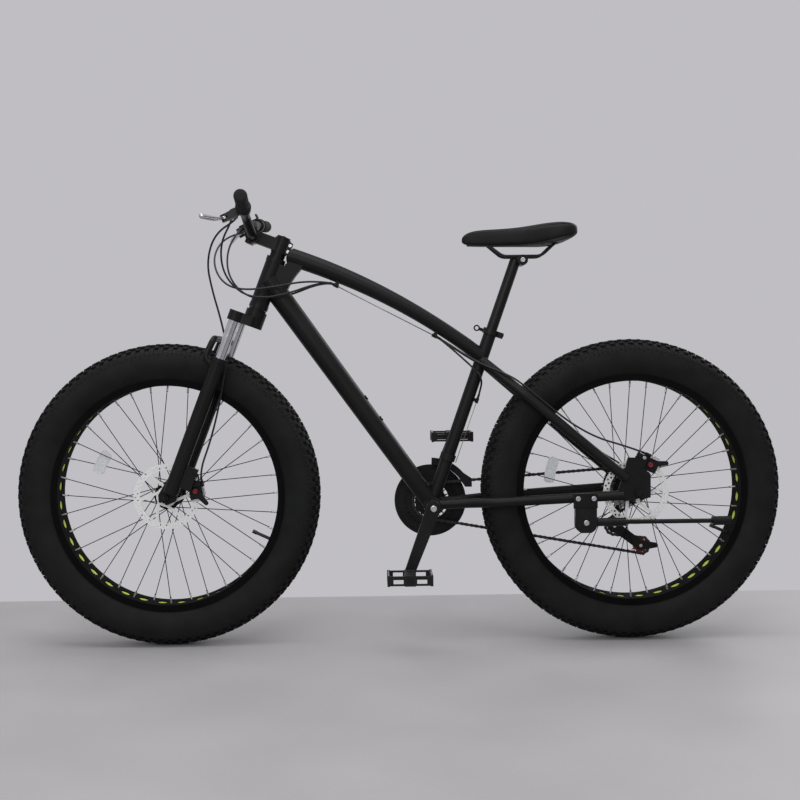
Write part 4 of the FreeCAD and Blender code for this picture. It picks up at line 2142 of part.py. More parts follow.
def build_kickstand():
    pivot = rear_axle + Vector(stand_ahead, 0, -stand_pivot_drop)
    stay_points_here = stay_points(1)[0]
    bow, end = stay_points_here[2], stay_points_here[3]
    share = (bow.x - pivot.x) / (bow.x - end.x)
    inner = bow.y + (end.y - bow.y) * share + chainstay_radius - stay_wall / 2
    stay = swept(rounded_wire(stay_points_here, chainstay_bend)[0], chainstay_radius)
    plate = block(Vector(-stand_plate_length / 2, inner, stand_pivot_drop - stand_plate_height),
                  Vector(stand_plate_length / 2, inner + stand_plate_thickness, stand_pivot_drop))
    half_width = stand_block_width / 2
    middle = inner + stand_plate_thickness / 2
    low = -stand_block_height / 2
    body = block(Vector(-stand_block_length / 2, middle - half_width, low),
                 Vector(stand_block_length / 2, middle + half_width, stand_pivot_drop - stand_plate_height))
    room = block(Vector(-wheelbase, middle - stand_hub_width / 2 - face_gap, low - overrun),
                 Vector(stand_hub_radius + overrun, middle + stand_hub_width / 2 + face_gap,
                        stand_hub_radius + overrun))
    swing = math.hypot(stand_block_length / 2 + overrun, stand_sleeve_radius) + face_gap
    swing_low = middle - stand_hub_width / 2 - face_gap
    swing_high = middle + stand_hub_width / 2 + face_gap
    above = block(Vector(-wheelbase, -wheelbase, stand_hub_radius + overrun),
                  Vector(wheelbase, wheelbase, wheelbase))
    slot = cross_rod(0, 0, swing_low, swing_high, swing).cut(above)
    below = block(Vector(-wheelbase, -wheelbase, -wheelbase), Vector(wheelbase, wheelbase, 0))
    sleeve_room = below.cut(cross_rod(0, 0, -wheelbase, wheelbase,
                                      stand_block_length / 2 + overrun - face_gap))
    pin = cross_rod(0, 0, middle - half_width, middle + half_width + stand_bolt_head, stand_pin_radius)
    bolts = []
    for step in SIDES:
        x = step * stand_plate_length / 3
        z = stand_pivot_drop - stand_plate_height / 3
        bolts.append(cross_rod(x, z, inner + stand_plate_thickness,
                               inner + stand_plate_thickness + stand_bolt_head,
                               stand_bolt_radius))
    bracket = plate.fuse(body).cut([room, slot, sleeve_room]).fuse([pin] + bolts).removeSplitter()
    save("kickstand_bracket", largest(moved_to(bracket, pivot).cut(stay)))
    hub = cross_rod(0, 0, middle - stand_hub_width / 2, middle + stand_hub_width / 2, stand_hub_radius)
    sleeve = rod(Vector(0, middle, 0), Vector(-stand_sleeve_length, middle, 0), stand_sleeve_radius)
    neck_room = stand_hub_width / 2
    trim = block(Vector(-stand_block_length / 2 - overrun, -wheelbase, -wheelbase),
                 Vector(wheelbase, wheelbase, wheelbase))
    slim = block(Vector(-stand_block_length / 2 - overrun, middle - neck_room, -stand_sleeve_radius),
                 Vector(0, middle + neck_room, stand_sleeve_radius))
    shaft = rod(Vector(-stand_sleeve_length, middle, 0), Vector(-stand_rod_length, middle, 0),
                stand_rod_radius)
    leg = sleeve.cut(trim).fuse([slim, hub, shaft])
    leg = leg.cut(cross_rod(0, 0, -wheelbase, wheelbase, stand_pin_radius + running_fit)).removeSplitter()
    foot = rod(Vector(-stand_rod_length, middle, 0),
               Vector(-stand_rod_length - stand_foot_length, middle, 0),
               stand_foot_radius)
    save("kickstand_leg", moved_to(leg, pivot), moved_to(foot, pivot))


os.makedirs("parts", exist_ok=True)
build_wheels()
build_fork()
build_cockpit()
build_frame()
build_seat()
build_chain()
build_cranks()
build_freewheel()
build_derailleurs()
build_brakes()
build_kickstand()
build_cables()
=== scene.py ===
# %% [markdown]
# # A fat tire bike, dressed
# The construction model arrives as a fixed frame: every node already sits where it belongs, in metres,
# with +X forwards, +Y to the rider's left and +Z up. This script only gives it looks: finishes, soft
# parts, cables, tread, links and small fittings, plus a floor, lamps and a camera.

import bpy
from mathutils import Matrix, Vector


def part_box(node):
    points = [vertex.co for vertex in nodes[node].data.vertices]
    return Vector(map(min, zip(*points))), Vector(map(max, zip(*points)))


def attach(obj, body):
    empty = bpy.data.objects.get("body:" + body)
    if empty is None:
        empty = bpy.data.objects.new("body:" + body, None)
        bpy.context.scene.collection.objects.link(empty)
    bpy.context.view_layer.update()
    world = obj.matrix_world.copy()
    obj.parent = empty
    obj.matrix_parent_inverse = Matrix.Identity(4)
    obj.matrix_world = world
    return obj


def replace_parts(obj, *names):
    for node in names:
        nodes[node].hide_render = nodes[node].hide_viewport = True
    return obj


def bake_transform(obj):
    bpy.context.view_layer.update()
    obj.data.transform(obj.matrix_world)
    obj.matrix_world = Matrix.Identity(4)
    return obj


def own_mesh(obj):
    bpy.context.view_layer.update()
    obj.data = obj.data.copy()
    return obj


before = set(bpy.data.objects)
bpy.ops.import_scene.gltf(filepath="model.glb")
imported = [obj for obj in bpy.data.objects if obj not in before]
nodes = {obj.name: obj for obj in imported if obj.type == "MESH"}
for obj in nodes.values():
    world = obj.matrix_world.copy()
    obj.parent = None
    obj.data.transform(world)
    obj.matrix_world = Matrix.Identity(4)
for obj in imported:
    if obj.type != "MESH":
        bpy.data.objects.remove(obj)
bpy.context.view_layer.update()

# %% plain tools
import math

import bmesh
import bpy
from mathutils import Matrix, Vector

FRONT_AXLE = Vector((0.573, 0, 0.374))
REAR_AXLE = Vector((-0.573, 0, 0.374))
LEFT, RIGHT = Vector((0, 1, 0)), Vector((0, -1, 0))
print("wheelbase", round((FRONT_AXLE - REAR_AXLE).length, 3))

# %% [markdown]
# ## The camera
# The bicycle was photographed from its left, from a little over saddle height, about three metres off.
# Distance and lens matter together: a long lens far away would show both grips as one, while here the far
# grip sits visibly lower and further right than the near one. The place below was fitted to the axles,
# the grips, the saddle and the pedals.

# %% camera
EYE_PLACE = (0.0648, 3.0979, 0.7073)
YAW, PITCH, ROLL = (math.radians(angle) for angle in (-1.21, -1.95, 0.61))
eye = bpy.data.cameras.new("eye")
eye.sensor_width = 36
eye.lens = 56.04
eye.clip_end = 60
camera = bpy.data.objects.new("camera", eye)
bpy.context.scene.collection.objects.link(camera)
camera.location = EYE_PLACE
facing = Matrix(((-1, 0, 0), (0, 0, 1), (0, 1, 0)))
yaw = Matrix.Rotation(YAW, 3, "Z")
pitch = Matrix.Rotation(PITCH, 3, yaw @ Vector((-1, 0, 0)))
ahead = pitch @ yaw @ Vector((0, -1, 0))
roll = Matrix.Rotation(ROLL, 3, ahead)
camera.rotation_mode = "QUATERNION"
camera.rotation_quaternion = (roll @ pitch @ yaw @ facing).to_quaternion()
bpy.context.scene.camera = camera
print("camera looks along", [round(x, 3) for x in ahead])

# %% [markdown]
# ## Floor, background and lamps
# A studio floor ends at a pale wall close behind the bicycle. The wall is only ever a background, so it
# is the world's own colour, seen directly and in reflections, and the floor stops where the wall would
# start. The lamps are wide and overhead, as in a room with ceiling lights: they draw soft bright lines
# along the tops of black tubes, and leave a faint shadow under the tyres.

# %% floor
def mesh_piece(name, points, faces):
    """A new object made from points and faces in the bicycle's own frame."""
    mesh = bpy.data.meshes.new(name)
    mesh.from_pydata([tuple(point) for point in points], [], faces)
    mesh.validate()
    piece = bpy.data.objects.new(name, mesh)
    bpy.context.scene.collection.objects.link(piece)
    return piece


WALL = -0.58
floor = mesh_piece("floor", [(-9, WALL, 0), (9, WALL, 0), (9, 12, 0), (-9, 12, 0)], [(0, 1, 2, 3)])
print("floor ends", abs(WALL), "m behind the bicycle")

# %% lamps
def soft_lamp(name, place, aim, width, depth, watts):
    lamp = bpy.data.lights.new(name, "AREA")
    lamp.shape = "RECTANGLE"
    lamp.size = width
    lamp.size_y = depth
    lamp.energy = watts
    holder = bpy.data.objects.new(name, lamp)
    bpy.context.scene.collection.objects.link(holder)
    holder.location = place
    holder.rotation_mode = "QUATERNION"
    holder.rotation_quaternion = (Vector(aim) - Vector(place)).to_track_quat("-Z", "Y")
    return holder


lamps = [
    soft_lamp("ceiling_light", (0.2, 0.5, 3.2), (0, 0, 0.4), 3.6, 2.0, 62),
    soft_lamp("front_light", (0.9, 3.6, 2.3), (0, 0, 0.5), 2.4, 1.6, 46),
    soft_lamp("rear_light", (-2.4, -2.2, 2.0), (-0.2, 0, 0.6), 1.6, 1.6, 30),
]
print(len(lamps), "soft lamps")

# %% [markdown]
# ## Writing finishes as sums
# A finish is a small net of nodes. Wiring each by hand hides the idea, so one class wraps a socket and
# takes part in Python sums: each sum adds a Math node behind the scenes. Every other node comes from its
# one method, `node`, which takes the node's type, its settings and what its sockets hold.

# %% a socket that joins in sums
class Signal:
    """A shader socket; a sum on it adds a Math node to the same finish."""

    def __init__(self, tree, socket):
        self.tree = tree
        self.socket = socket

    def node(self, kind, settings=None, links=None, out=0):
        made = self.tree.nodes.new("ShaderNode" + kind)
        for name, value in (settings or {}).items():
            if name == "stops":
                made.color_ramp.elements.remove(made.color_ramp.elements[1])
                for count, (place, level) in enumerate(value):
                    stop = made.color_ramp.elements.new(place) if count else made.color_ramp.elements[0]
                    stop.position = place
                    stop.color = (*level, 1)
            else:
                setattr(made, name, value)
        for name, value in (links or {}).items():
            if isinstance(value, Signal):
                self.tree.links.new(value.socket, made.inputs[name])
            else:
                made.inputs[name].default_value = value
        return Signal(self.tree, made.outputs[out])

    def math(self, operation, other=0.0, swap=False):
        first, second = (other, self) if swap else (self, other)
        return self.node("Math", {"operation": operation}, {0: first, 1: second})

    def __add__(self, other):
        return self.math("ADD", other)

    def __sub__(self, other):
        return self.math("SUBTRACT", other)

    def __rsub__(self, other):
        return self.math("SUBTRACT", other, swap=True)

    def __mul__(self, other):
        return self.math("MULTIPLY", other)

    def __pow__(self, other):
        return self.math("POWER", other)

    def __rpow__(self, other):
        return self.math("POWER", other, swap=True)

    def __gt__(self, other):
        return self.math("GREATER_THAN", other)

    def __lt__(self, other):
        return self.math("LESS_THAN", other)

    __radd__ = __add__
    __rmul__ = __mul__


print("signals add, subtract, multiply, take powers and compare")

# %% what finishes are made from
def grain(where, size, detail=3.0, stretch=None):
    """Soft noise whose blotches are about `size` metres across; stretch draws it out along an axis."""
    if stretch:
        where = where.node("Mapping", None, {"Vector": where, "Scale": stretch})
    return where.node("TexNoise", None, {"Vector": where, "Scale": 1 / size, "Detail": detail})


def cells(where, size):
    """The distance to the nearest of many scattered points: pebbles and prisms."""
    return where.node("TexVoronoi", {"feature": "F1"}, {"Vector": where, "Scale": 1 / size})


def between(factor, low, high):
    """A number that runs from low to high with the factor."""
    return factor * (high - low) + low


def colours(factor, *stops):
    return factor.node("ValToRGB", {"stops": stops}, {0: factor})


def grey(level):
    return (level, level, level)


def raised(height, depth, strength):
    return height.node("Bump", None, {"Height": height, "Distance": depth, "Strength": strength})


def round_axle(where, axle):
    """Distance from an axle and angle about it, for a finish that turns with a wheel."""
    x = where.node("SeparateXYZ", None, {0: where}, 0) - axle.x
    z = where.node("SeparateXYZ", None, {0: where}, 2) - axle.z
    return (x * x + z * z) ** 0.5, x.math("ARCTAN2", z)


def finish(name, made_of, **constant):
    """A finish: constants go on the shader's own sockets, made_of(where) gives the sockets that vary."""
    material = bpy.data.materials.new(name)
    material.use_nodes = True
    tree = material.node_tree
    shader = tree.nodes["Principled BSDF"]
    for socket, value in constant.items():
        shader.inputs[socket.replace("_", " ")].default_value = value
    where = Signal(tree, tree.nodes.new("ShaderNodeTexCoord").outputs["Object"])
    for socket, signal in made_of(where).items():
        tree.links.new(signal.socket, shader.inputs[socket])
    return material


def wheel_finishes(name, made_about, **constant):
    """One finish about each axle, front and rear."""
    return [finish(side + name, lambda where: made_about(where, *round_axle(where, axle)), **constant)
            for side, axle in (("front_", FRONT_AXLE), ("rear_", REAR_AXLE))]


def wear(piece, material):
    """Gives an object one finish all over."""
    piece.data.materials.clear()
    piece.data.materials.append(material)
    for face in piece.data.polygons:
        face.material_index = 0
    return piece


print("finish tools ready")

# %% [markdown]
# ## Finishes of the metal parts
# Nearly all of this bicycle is black, so the finishes must differ in more than colour. Satin enamel has a
# faint orange-peel skin and soft highlights, anodised alloy is greyer with a tight shine, phosphated
# steel is dull. Against them stand chromed stanchions, ground rotors and polished levers. Noise at the
# size of real flaws moves colour and roughness, and a shallow bump carries the skin.

# %% painted and anodised metal
def enamel(name, level, shine, peel, gloss=0.16):
    def made_of(where):
        cloud = grain(where, 0.09)
        specks = grain(where, 0.004, 2)
        return {
            "Base Color": colours(cloud * 0.8 + specks * 0.2, (0.3, grey(level * 0.75)),
                                  (0.7, (level * 1.2, level * 1.2, level * 1.3))),
            "Roughness": between(cloud * 0.6 + specks * 0.4, shine - 0.09, shine + 0.11),
            "Normal": raised(grain(where, peel, 2), 0.0002, 0.22),
        }

    return finish(name, made_of, Metallic=0.0, Specular_IOR_Level=gloss, Coat_Weight=0.02,
                  Coat_Roughness=0.3)


def anodised(name, level, shine):
    def made_of(where):
        lines = grain(where, 0.0015, 2, (1, 14, 1))
        cloud = grain(where, 0.03)
        return {
            "Base Color": colours(cloud, (0.3, grey(level * 0.7)),
                                  (0.75, (level * 1.25, level * 1.27, level * 1.35))),
            "Roughness": between(lines * 0.5 + cloud * 0.5, shine - 0.1, shine + 0.12),
            "Normal": raised(lines, 0.0001, 0.18),
        }

    return finish(name, made_of, Metallic=0.1, Specular_IOR_Level=0.2)


frame_paint = enamel("frame_paint", 0.0068, 0.44, 0.0022)
fork_paint = enamel("fork_paint", 0.0066, 0.38, 0.003)
rim_black = enamel("rim_black", 0.004, 0.8, 0.0016, 0.03)
black_alloy = anodised("black_alloy", 0.0085, 0.38)
black_steel = anodised("black_steel", 0.008, 0.46)
print("black finishes", [material.name for material in bpy.data.materials][-5:])

# %% bright metal
def bright(name, level, shine, streak=(1, 1, 1)):
    """Bare metal, a trace bluer than grey; streak draws its polishing lines out along an axis."""
    def made_of(where):
        lines = grain(where, 0.002, 3, streak)
        cloud = grain(where, 0.02)
        low, high = ((part, part, part * 1.02) for part in (level * 0.82, level * 1.08))
        return {
            "Base Color": colours(cloud * 0.6 + lines * 0.4, (0.3, low), (0.7, high)),
            "Roughness": between(lines * 0.6 + cloud * 0.4, max(0.04, shine - 0.1), shine + 0.12),
            "Normal": raised(lines, 0.00008, 0.15),
        }

    return finish(name, made_of, Metallic=1.0)


stanchion_chrome = bright("stanchion_chrome", 0.62, 0.14, (9, 9, 1))
zinc_steel = bright("zinc_steel", 0.58, 0.32)
lever_alloy = bright("lever_alloy", 0.56, 0.32, (1, 9, 1))
chain_steel = bright("chain_steel", 0.045, 0.46)
spring_steel = bright("spring_steel", 0.34, 0.4)
bare_wire = bright("bare_wire", 0.3, 0.36, (30, 30, 1))


def ground_rotor(where, radius, angle):
    """Ground stainless: fine rings about the axle, with a worn, brighter track near the rim."""
    rings = grain(radius.node("CombineXYZ", None, {0: radius * 3000, 1: angle * 2}), 1.0, 2)
    track = (radius > 0.063) * 0.12
    return {
        "Base Color": colours(rings + track, (0.25, (0.74, 0.74, 0.72)), (0.8, (0.92, 0.92, 0.9))),
        "Roughness": between(rings, 0.22, 0.42),
        "Normal": raised(rings, 0.00006, 0.25),
    }


def black_spokes(where, radius, angle):
    """Black spokes that end in bright nipples close to the rim."""
    nipple = radius > 0.2565
    cloud = grain(where, 0.01)
    return {
        "Base Color": colours(nipple * 0.8 + cloud * 0.2, (0.1, grey(0.002)), (0.3, grey(0.005)),
                              (0.7, grey(0.5)), (1.0, (0.68, 0.68, 0.69))),
        "Roughness": between(cloud, 0.35, 0.55),
        "Metallic": nipple * 0.85 + 0.02,
    }


front_rotor_steel, rear_rotor_steel = wheel_finishes("rotor_steel", ground_rotor, Metallic=0.35)
front_spoke_steel, rear_spoke_steel = wheel_finishes("spoke_steel", black_spokes, Specular_IOR_Level=0.06)
print("bright finishes", [material.name for material in bpy.data.materials][-10:])

# %% [markdown]
# ## Finishes of rubber, plastic and skin
# Tyre rubber is grey-black with dust in its pores and mould rings on its wall. Moulded nylon has a spark-
# eroded texture. The saddle's skin is a synthetic leather: small pebbles with creases between them.

# %% rubber and plastic
def dusty_rubber(where, radius, angle):
    dust = grain(where, 0.05, 5)
    pores = grain(where, 0.0012, 2)
    wave = (radius * 1400).math("SINE") * 0.5 + 0.5
    wall = (radius < 0.345) * (radius > 0.289)
    return {
        "Base Color": colours(dust * 0.7 + pores * 0.3, (0.3, (0.0052, 0.0054, 0.0053)),
                              (0.72, (0.0125, 0.013, 0.0128))),
        "Roughness": between(dust * 0.5 + pores * 0.5, 0.5, 0.78),
        "Normal": raised(pores * 0.5 + wave * wall * 0.25, 0.0004, 0.5),
    }


def strip_and_valve(where, radius, angle):
    """The lively strip that shows through the rim's windows, and the black valve inside the rim."""
    strip = radius > 0.2705
    weave = grain(where, 0.0009, 2)
    return {
        "Base Color": colours(strip * 0.8 + weave * 0.2, (0.02, grey(0.006)), (0.19, grey(0.014)),
                              (0.81, (0.46, 0.56, 0.04)), (0.98, (0.66, 0.76, 0.10))),
        "Roughness": between(weave, 0.4, 0.6),
        "Normal": raised(weave, 0.0001, 0.3),
    }


front_tyre_rubber, rear_tyre_rubber = wheel_finishes("tyre_rubber", dusty_rubber, Specular_IOR_Level=0.13)
front_strip, rear_strip = wheel_finishes("strip", strip_and_valve)


def moulded(name, low, high, shine, pore, depth, gloss):
    def made_of(where):
        pits = grain(where, pore, 2)
        cloud = grain(where, 0.03)
        return {
            "Base Color": colours(cloud * 0.6 + pits * 0.4, (0.3, low), (0.7, high)),
            "Roughness": between(cloud * 0.5 + pits * 0.5, shine - 0.08, shine + 0.12),
            "Normal": raised(pits, depth, 0.45),
        }

    return finish(name, made_of, Specular_IOR_Level=gloss)


black_plastic = moulded("black_plastic", grey(0.008), (0.013, 0.013, 0.0135), 0.46, 0.0006, 0.00015, 0.2)
grip_rubber = moulded("grip_rubber", grey(0.007), grey(0.015), 0.66, 0.0008, 0.0003, 0.2)
pulley_plastic = moulded("pulley_plastic", (0.16, 0.006, 0.018), (0.26, 0.012, 0.03), 0.34, 0.0008,
                         0.0001, 0.3)
dial_red = moulded("dial_red", (0.15, 0.006, 0.016), (0.24, 0.012, 0.026), 0.36, 0.0008, 0.0001, 0.3)


def pebbled_skin(where):
    pebbles = cells(where, 0.0021)
    creases = grain(where, 0.012, 4)
    return {
        "Base Color": colours(creases * 0.6 + pebbles * 0.4, (0.2, grey(0.005)), (0.7, grey(0.011))),
        "Roughness": between(pebbles * 0.6 + creases * 0.4, 0.4, 0.62),
        "Normal": raised(pebbles * 0.6 + creases * 0.4, 0.0003, 0.5),
    }


def housing_skin(where):
    bands = grain(where, 0.0014, 2)
    cloud = grain(where, 0.02)
    return {
        "Base Color": colours(bands * 0.4 + cloud * 0.6, (0.3, grey(0.008)), (0.7, grey(0.02))),
        "Roughness": between(cloud, 0.28, 0.45),
        "Normal": raised(bands, 0.00012, 0.3),
    }


saddle_skin = finish("saddle_skin", pebbled_skin, Specular_IOR_Level=0.14)
cable_black = finish("cable_black", housing_skin, Specular_IOR_Level=0.3)
print("soft and moulded finishes", [material.name for material in bpy.data.materials][-10:])

# %% [markdown]
# ## Finishes for the construction nodes
# Every node that stays as it was built gets the finish of the real piece.

# %% hand out the finishes
worn = {
    frame_paint: "head_tube top_tube down_tube seat_tube bottom_bracket_shell rear_triangle",
    fork_paint: "fork_lowers fork_crown",
    stanchion_chrome: "stanchions",
    black_alloy: "stem handlebar seatpost seat_collar seat_collar_lever crank_arms front_hub rear_hub "
                 "bearing_cups lever_brackets left_pedal right_pedal kickstand_bracket kickstand_leg "
                 "front_caliper rear_caliper front_caliper_arm rear_caliper_arm derailleur_knuckle "
                 "derailleur_mount",
    black_steel: "front_axle rear_axle crank_spindle chainrings front_derailleur_clamp "
                 "front_derailleur_cage derailleur_cage",
    spring_steel: "fork_springs freewheel",
    chain_steel: "chain",
    lever_alloy: "left_brake_lever right_brake_lever",
    black_plastic: "left_shift_lever right_shift_lever saddle_base guide_pulley",
    pulley_plastic: "tension_pulley",
    grip_rubber: "grips",
    rim_black: "front_rim rear_rim",
    front_strip: "front_tube_and_strip",
    rear_strip: "rear_tube_and_strip",
    saddle_skin: "saddle_cover",
    cable_black: "control_cables front_brake_cable",
    front_tyre_rubber: "front_tyre",
    rear_tyre_rubber: "rear_tyre",
    front_rotor_steel: "front_rotor",
    rear_rotor_steel: "rear_rotor",
    front_spoke_steel: "front_spokes",
    rear_spoke_steel: "rear_spokes",
}
dressed = set()
for material, names in worn.items():
    for name in names.split():
        wear(nodes[name], material)
        dressed.add(name)
print("nodes without a finish:", sorted(set(nodes) - dressed))

# %% [markdown]
# ## The control cables
# Black housings loop from the levers to stops under the top tube, where bare wires run on to the back of
# the frame and new housings take over. Each housing is a springy hose held at both ends, so its line is
# one smooth curve: a spline guided by a few points, never a chain of bends. A tube is then drawn along
# the spline. The loops that cross the headset have a cap held by each side of it.

# %% lines and rings
def smooth_line(points):
    """Points along the spline that these guide points give."""
    curve = bpy.data.curves.new("guide", "CURVE")
    curve.dimensions = "3D"
    curve.resolution_u = 14
    spline = curve.splines.new("NURBS")
    spline.points.add(len(points) - 1)
    for target, point in zip(spline.points, points):
        target.co = (*point, 1)
    spline.order_u = 3
    spline.use_endpoint_u = True
    guide = bpy.data.objects.new("guide", curve)
    bpy.context.scene.collection.objects.link(guide)
    bpy.context.view_layer.update()
    seen = guide.evaluated_get(bpy.context.evaluated_depsgraph_get())
    mesh = bpy.data.meshes.new_from_object(seen)
    line = [vertex.co.copy() for vertex in mesh.vertices]
    bpy.data.objects.remove(guide)
    bpy.data.meshes.remove(mesh)
    return line


def line_length(line):
    return sum((b - a).length for a, b in zip(line, line[1:]))


def crossed(way):
    """Two directions square to a way and to each other."""
    across = way.orthogonal().normalized()
    return across, way.cross(across)


def tube_rings(line, radius, sides):
    """Rings of points square to a line, turned as little as possible from one to the next."""
    across, _ = crossed((line[1] - line[0]).normalized())
    turns = [math.tau * step / sides for step in range(sides)]
    rings = []
    for count, place in enumerate(line):
        before = line[max(count - 1, 0)]
        after = line[min(count + 1, len(line) - 1)]
        way = (after - before).normalized()
        across = (across - way * across.dot(way)).normalized()
        other = way.cross(across)
        rings.append([place + (across * math.cos(t) + other * math.sin(t)) * radius for t in turns])
    return rings


def turned(place, way, profile, sides, radius_at=None):
    """Rings about a line; a profile's row is its reach and radius, or its reach and what radius_at needs."""
    across, other = crossed(way)
    rings = []
    for row in profile:
        ring = []
        for step in range(sides):
            turn = math.tau * step / sides
            radius = radius_at(turn, *row) if radius_at else row[1]
            out = across * math.cos(turn) + other * math.sin(turn)
            ring.append(place + way * row[0] + out * radius)
        rings.append(ring)
    return rings


def on_side(rings, side):
    """Rings made for the left side, mirrored to the right where side is -1."""
    flip = Vector((1, side, 1))
    return [[point * flip for point in ring][::side] for ring in rings]


print("line tools ready")

# %% skins over rings
def add_rings(points, faces, rings):
    """Joins rings of equal count into a closed shape and adds it to the lists of a mesh."""
    base, count = len(points), len(rings[0])
    for ring in rings:
        points.extend(ring)
    for row in range(len(rings) - 1):
        for step in range(count):
            a = base + row * count + step
            b = base + row * count + (step + 1) % count
            faces.append((a, b, b + count, a + count))
    faces.append(tuple(range(base + count - 1, base - 1, -1)))
    faces.append(tuple(range(len(points) - count, len(points))))


def skin(name, rings):
    """One smooth closed skin over a row of rings."""
    points, faces = [], []
    add_rings(points, faces, rings)
    piece = mesh_piece(name, points, faces)
    for face in piece.data.polygons:
        face.use_smooth = len(face.vertices) == 4
    return piece


print("skin tools ready")

# %% the routes of the housings
HOUSING = 0.0048
WIRE = 0.0016
LEVER_TO_STOP = ("steering", "frame", (0.405, 0, 0.93), (0.19, 0, 0.885))
LEVER_TO_FORK = ("steering", "fork_lower", (0.428, 0.06, 0.82), (0.478, 0.07, 0.47))
# each housing: its length, what holds it, and the guide points of its route
housings = {
    "rear_brake_front": (0.552, LEVER_TO_STOP, [
        (0.3814, -0.1598, 1.0407), (0.3827, -0.1359, 1.0386), (0.440, -0.085, 1.015), (0.462, -0.045, 0.970),
        (0.452, 0.0, 0.922), (0.420, 0.032, 0.886), (0.370, 0.042, 0.876), (0.300, 0.042, 0.884),
        (0.235, 0.030, 0.897), (0.1697, 0.011, 0.8948), (0.1609, 0.011, 0.8902)]),
    "front_shift_front": (0.458, LEVER_TO_STOP, [
        (0.3982, 0.1184, 1.0425), (0.3995, 0.0945, 1.0404), (0.432, 0.072, 0.985), (0.428, 0.052, 0.915),
        (0.385, 0.044, 0.866), (0.330, 0.043, 0.856), (0.267, 0.040, 0.868), (0.212, 0.022, 0.889),
        (0.1697, 0.0, 0.8948), (0.1609, 0.0, 0.8902)]),
    "rear_shift_front": (0.455, LEVER_TO_STOP, [
        (0.3982, -0.1184, 1.0425), (0.3995, -0.0945, 1.0404), (0.432, -0.072, 0.985), (0.428, -0.052, 0.915),
        (0.385, -0.044, 0.866), (0.330, -0.043, 0.856), (0.267, -0.040, 0.868), (0.212, -0.022, 0.889),
        (0.1697, -0.011, 0.8948), (0.1609, -0.011, 0.8902)]),
    "rear_brake_rear": (0.594, ("frame",), [
        (-0.094, 0.011, 0.7573), (-0.1028, 0.011, 0.7526), (-0.190, 0.031, 0.694), (-0.262, 0.060, 0.664),
        (-0.300, 0.067, 0.640), (-0.440, 0.083, 0.519), (-0.5727, 0.0937, 0.4783),
        (-0.5944, 0.0937, 0.4679)]),
    "front_shift_rear": (0.208, ("frame",), [
        (-0.094, 0.0, 0.7573), (-0.1028, 0.0, 0.7526), (-0.172, 0.024, 0.690), (-0.206, 0.022, 0.655),
        (-0.1981, 0.0, 0.6138), (-0.1947, 0.0, 0.6044)]),
    "rear_shift_rear": (0.737, ("frame",), [
        (-0.094, -0.011, 0.7573), (-0.1028, -0.011, 0.7526), (-0.190, -0.031, 0.694),
        (-0.262, -0.060, 0.664), (-0.300, -0.067, 0.640), (-0.440, -0.083, 0.519), (-0.512, -0.093, 0.462),
        (-0.572, -0.106, 0.428), (-0.622, -0.112, 0.384), (-0.628, -0.114, 0.336), (-0.594, -0.114, 0.322)]),
    "front_brake": (0.702, LEVER_TO_FORK, [
        (0.3814, 0.1598, 1.0407), (0.3827, 0.1359, 1.0386), (0.440, 0.115, 1.005), (0.462, 0.092, 0.940),
        (0.452, 0.072, 0.875), (0.436, 0.064, 0.815), (0.424, 0.060, 0.760), (0.420, 0.058, 0.712),
        (0.440, 0.058, 0.600), (0.462, 0.062, 0.512), (0.4893, 0.0717, 0.4363), (0.4848, 0.0717, 0.4127)]),
}
# each bare wire: its length, the bodies at its ends, and those ends
wires = {
    "left_tube_wire": (0.288, "frame", [(0.1609, 0.011, 0.8902), (-0.094, 0.011, 0.7573)]),
    "middle_tube_wire": (0.288, "frame", [(0.1609, 0.0, 0.8902), (-0.094, 0.0, 0.7573)]),
    "right_tube_wire": (0.288, "frame", [(0.1609, -0.011, 0.8902), (-0.094, -0.011, 0.7573)]),
    "seat_tube_wire": (0.171, "frame", [(-0.1947, 0.0, 0.6044), (-0.1378, 0.0, 0.4435)]),
    "rear_arm_wire": (0.038, "frame rear_brake_arm",
                      [(-0.5944, 0.0937, 0.4679), (-0.6288, 0.0937, 0.4515)]),
    "front_arm_wire": (0.038, "fork_lower front_brake_arm",
                       [(0.4848, 0.0717, 0.4127), (0.4775, 0.0717, 0.3752)]),
}
print(len(housings), "housings and", len(wires), "bare wires")

# %% draw them
FERRULE = ((0.0002, 0.0019), (0.0, 0.0029), (0.0012, 0.0031), (0.0022, 0.0029), (0.0095, 0.0029),
           (0.0104, 0.0027), (0.0106, 0.0025))


def ferrule(name, end, inner, body):
    """The crimped cap on a housing's end: a sleeve with a rolled lip."""
    way = (inner - end).normalized()
    cap = wear(skin(name, turned(end, way, FERRULE, 16)), black_alloy)
    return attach(cap, body)


for name, (length, held, points) in housings.items():
    line = smooth_line(points)
    hose = wear(skin(name + "_housing", tube_rings(line, HOUSING / 2, 14)), cable_black)
    caps = [ferrule(name + "_first_cap", line[0], line[2], held[0]),
            ferrule(name + "_last_cap", line[-1], line[-3], held[1] if len(held) > 1 else held[0])]
    if len(held) > 1:
        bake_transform(hose)
    else:
        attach(hose, held[0])
    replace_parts(hose, "front_brake_cable" if name == "front_brake" else "control_cables")
    print(name, "housing", round(line_length(line), 3), "m against", length)

for name, (length, bodies, points) in wires.items():
    first, *second = bodies.split()
    line = [Vector(point) for point in points]
    strand = wear(skin(name, tube_rings(line, WIRE / 2, 10)), bare_wire)
    if second:
        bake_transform(strand)
    else:
        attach(strand, first)
    print(name, round(line_length(line), 3), "m")

# %% [markdown]
# ## The tyres
# A fat tyre is a smooth casing with a blocky tread on its crown. A bump map would vanish at the outline,
# where the blocks show best against the wall, so they are real geometry: seven staggered rows of tapered
# blocks stand on the casing, and small lugs run down the shoulders. The section is two arcs, the same
# ones that the construction model turns about the axle.

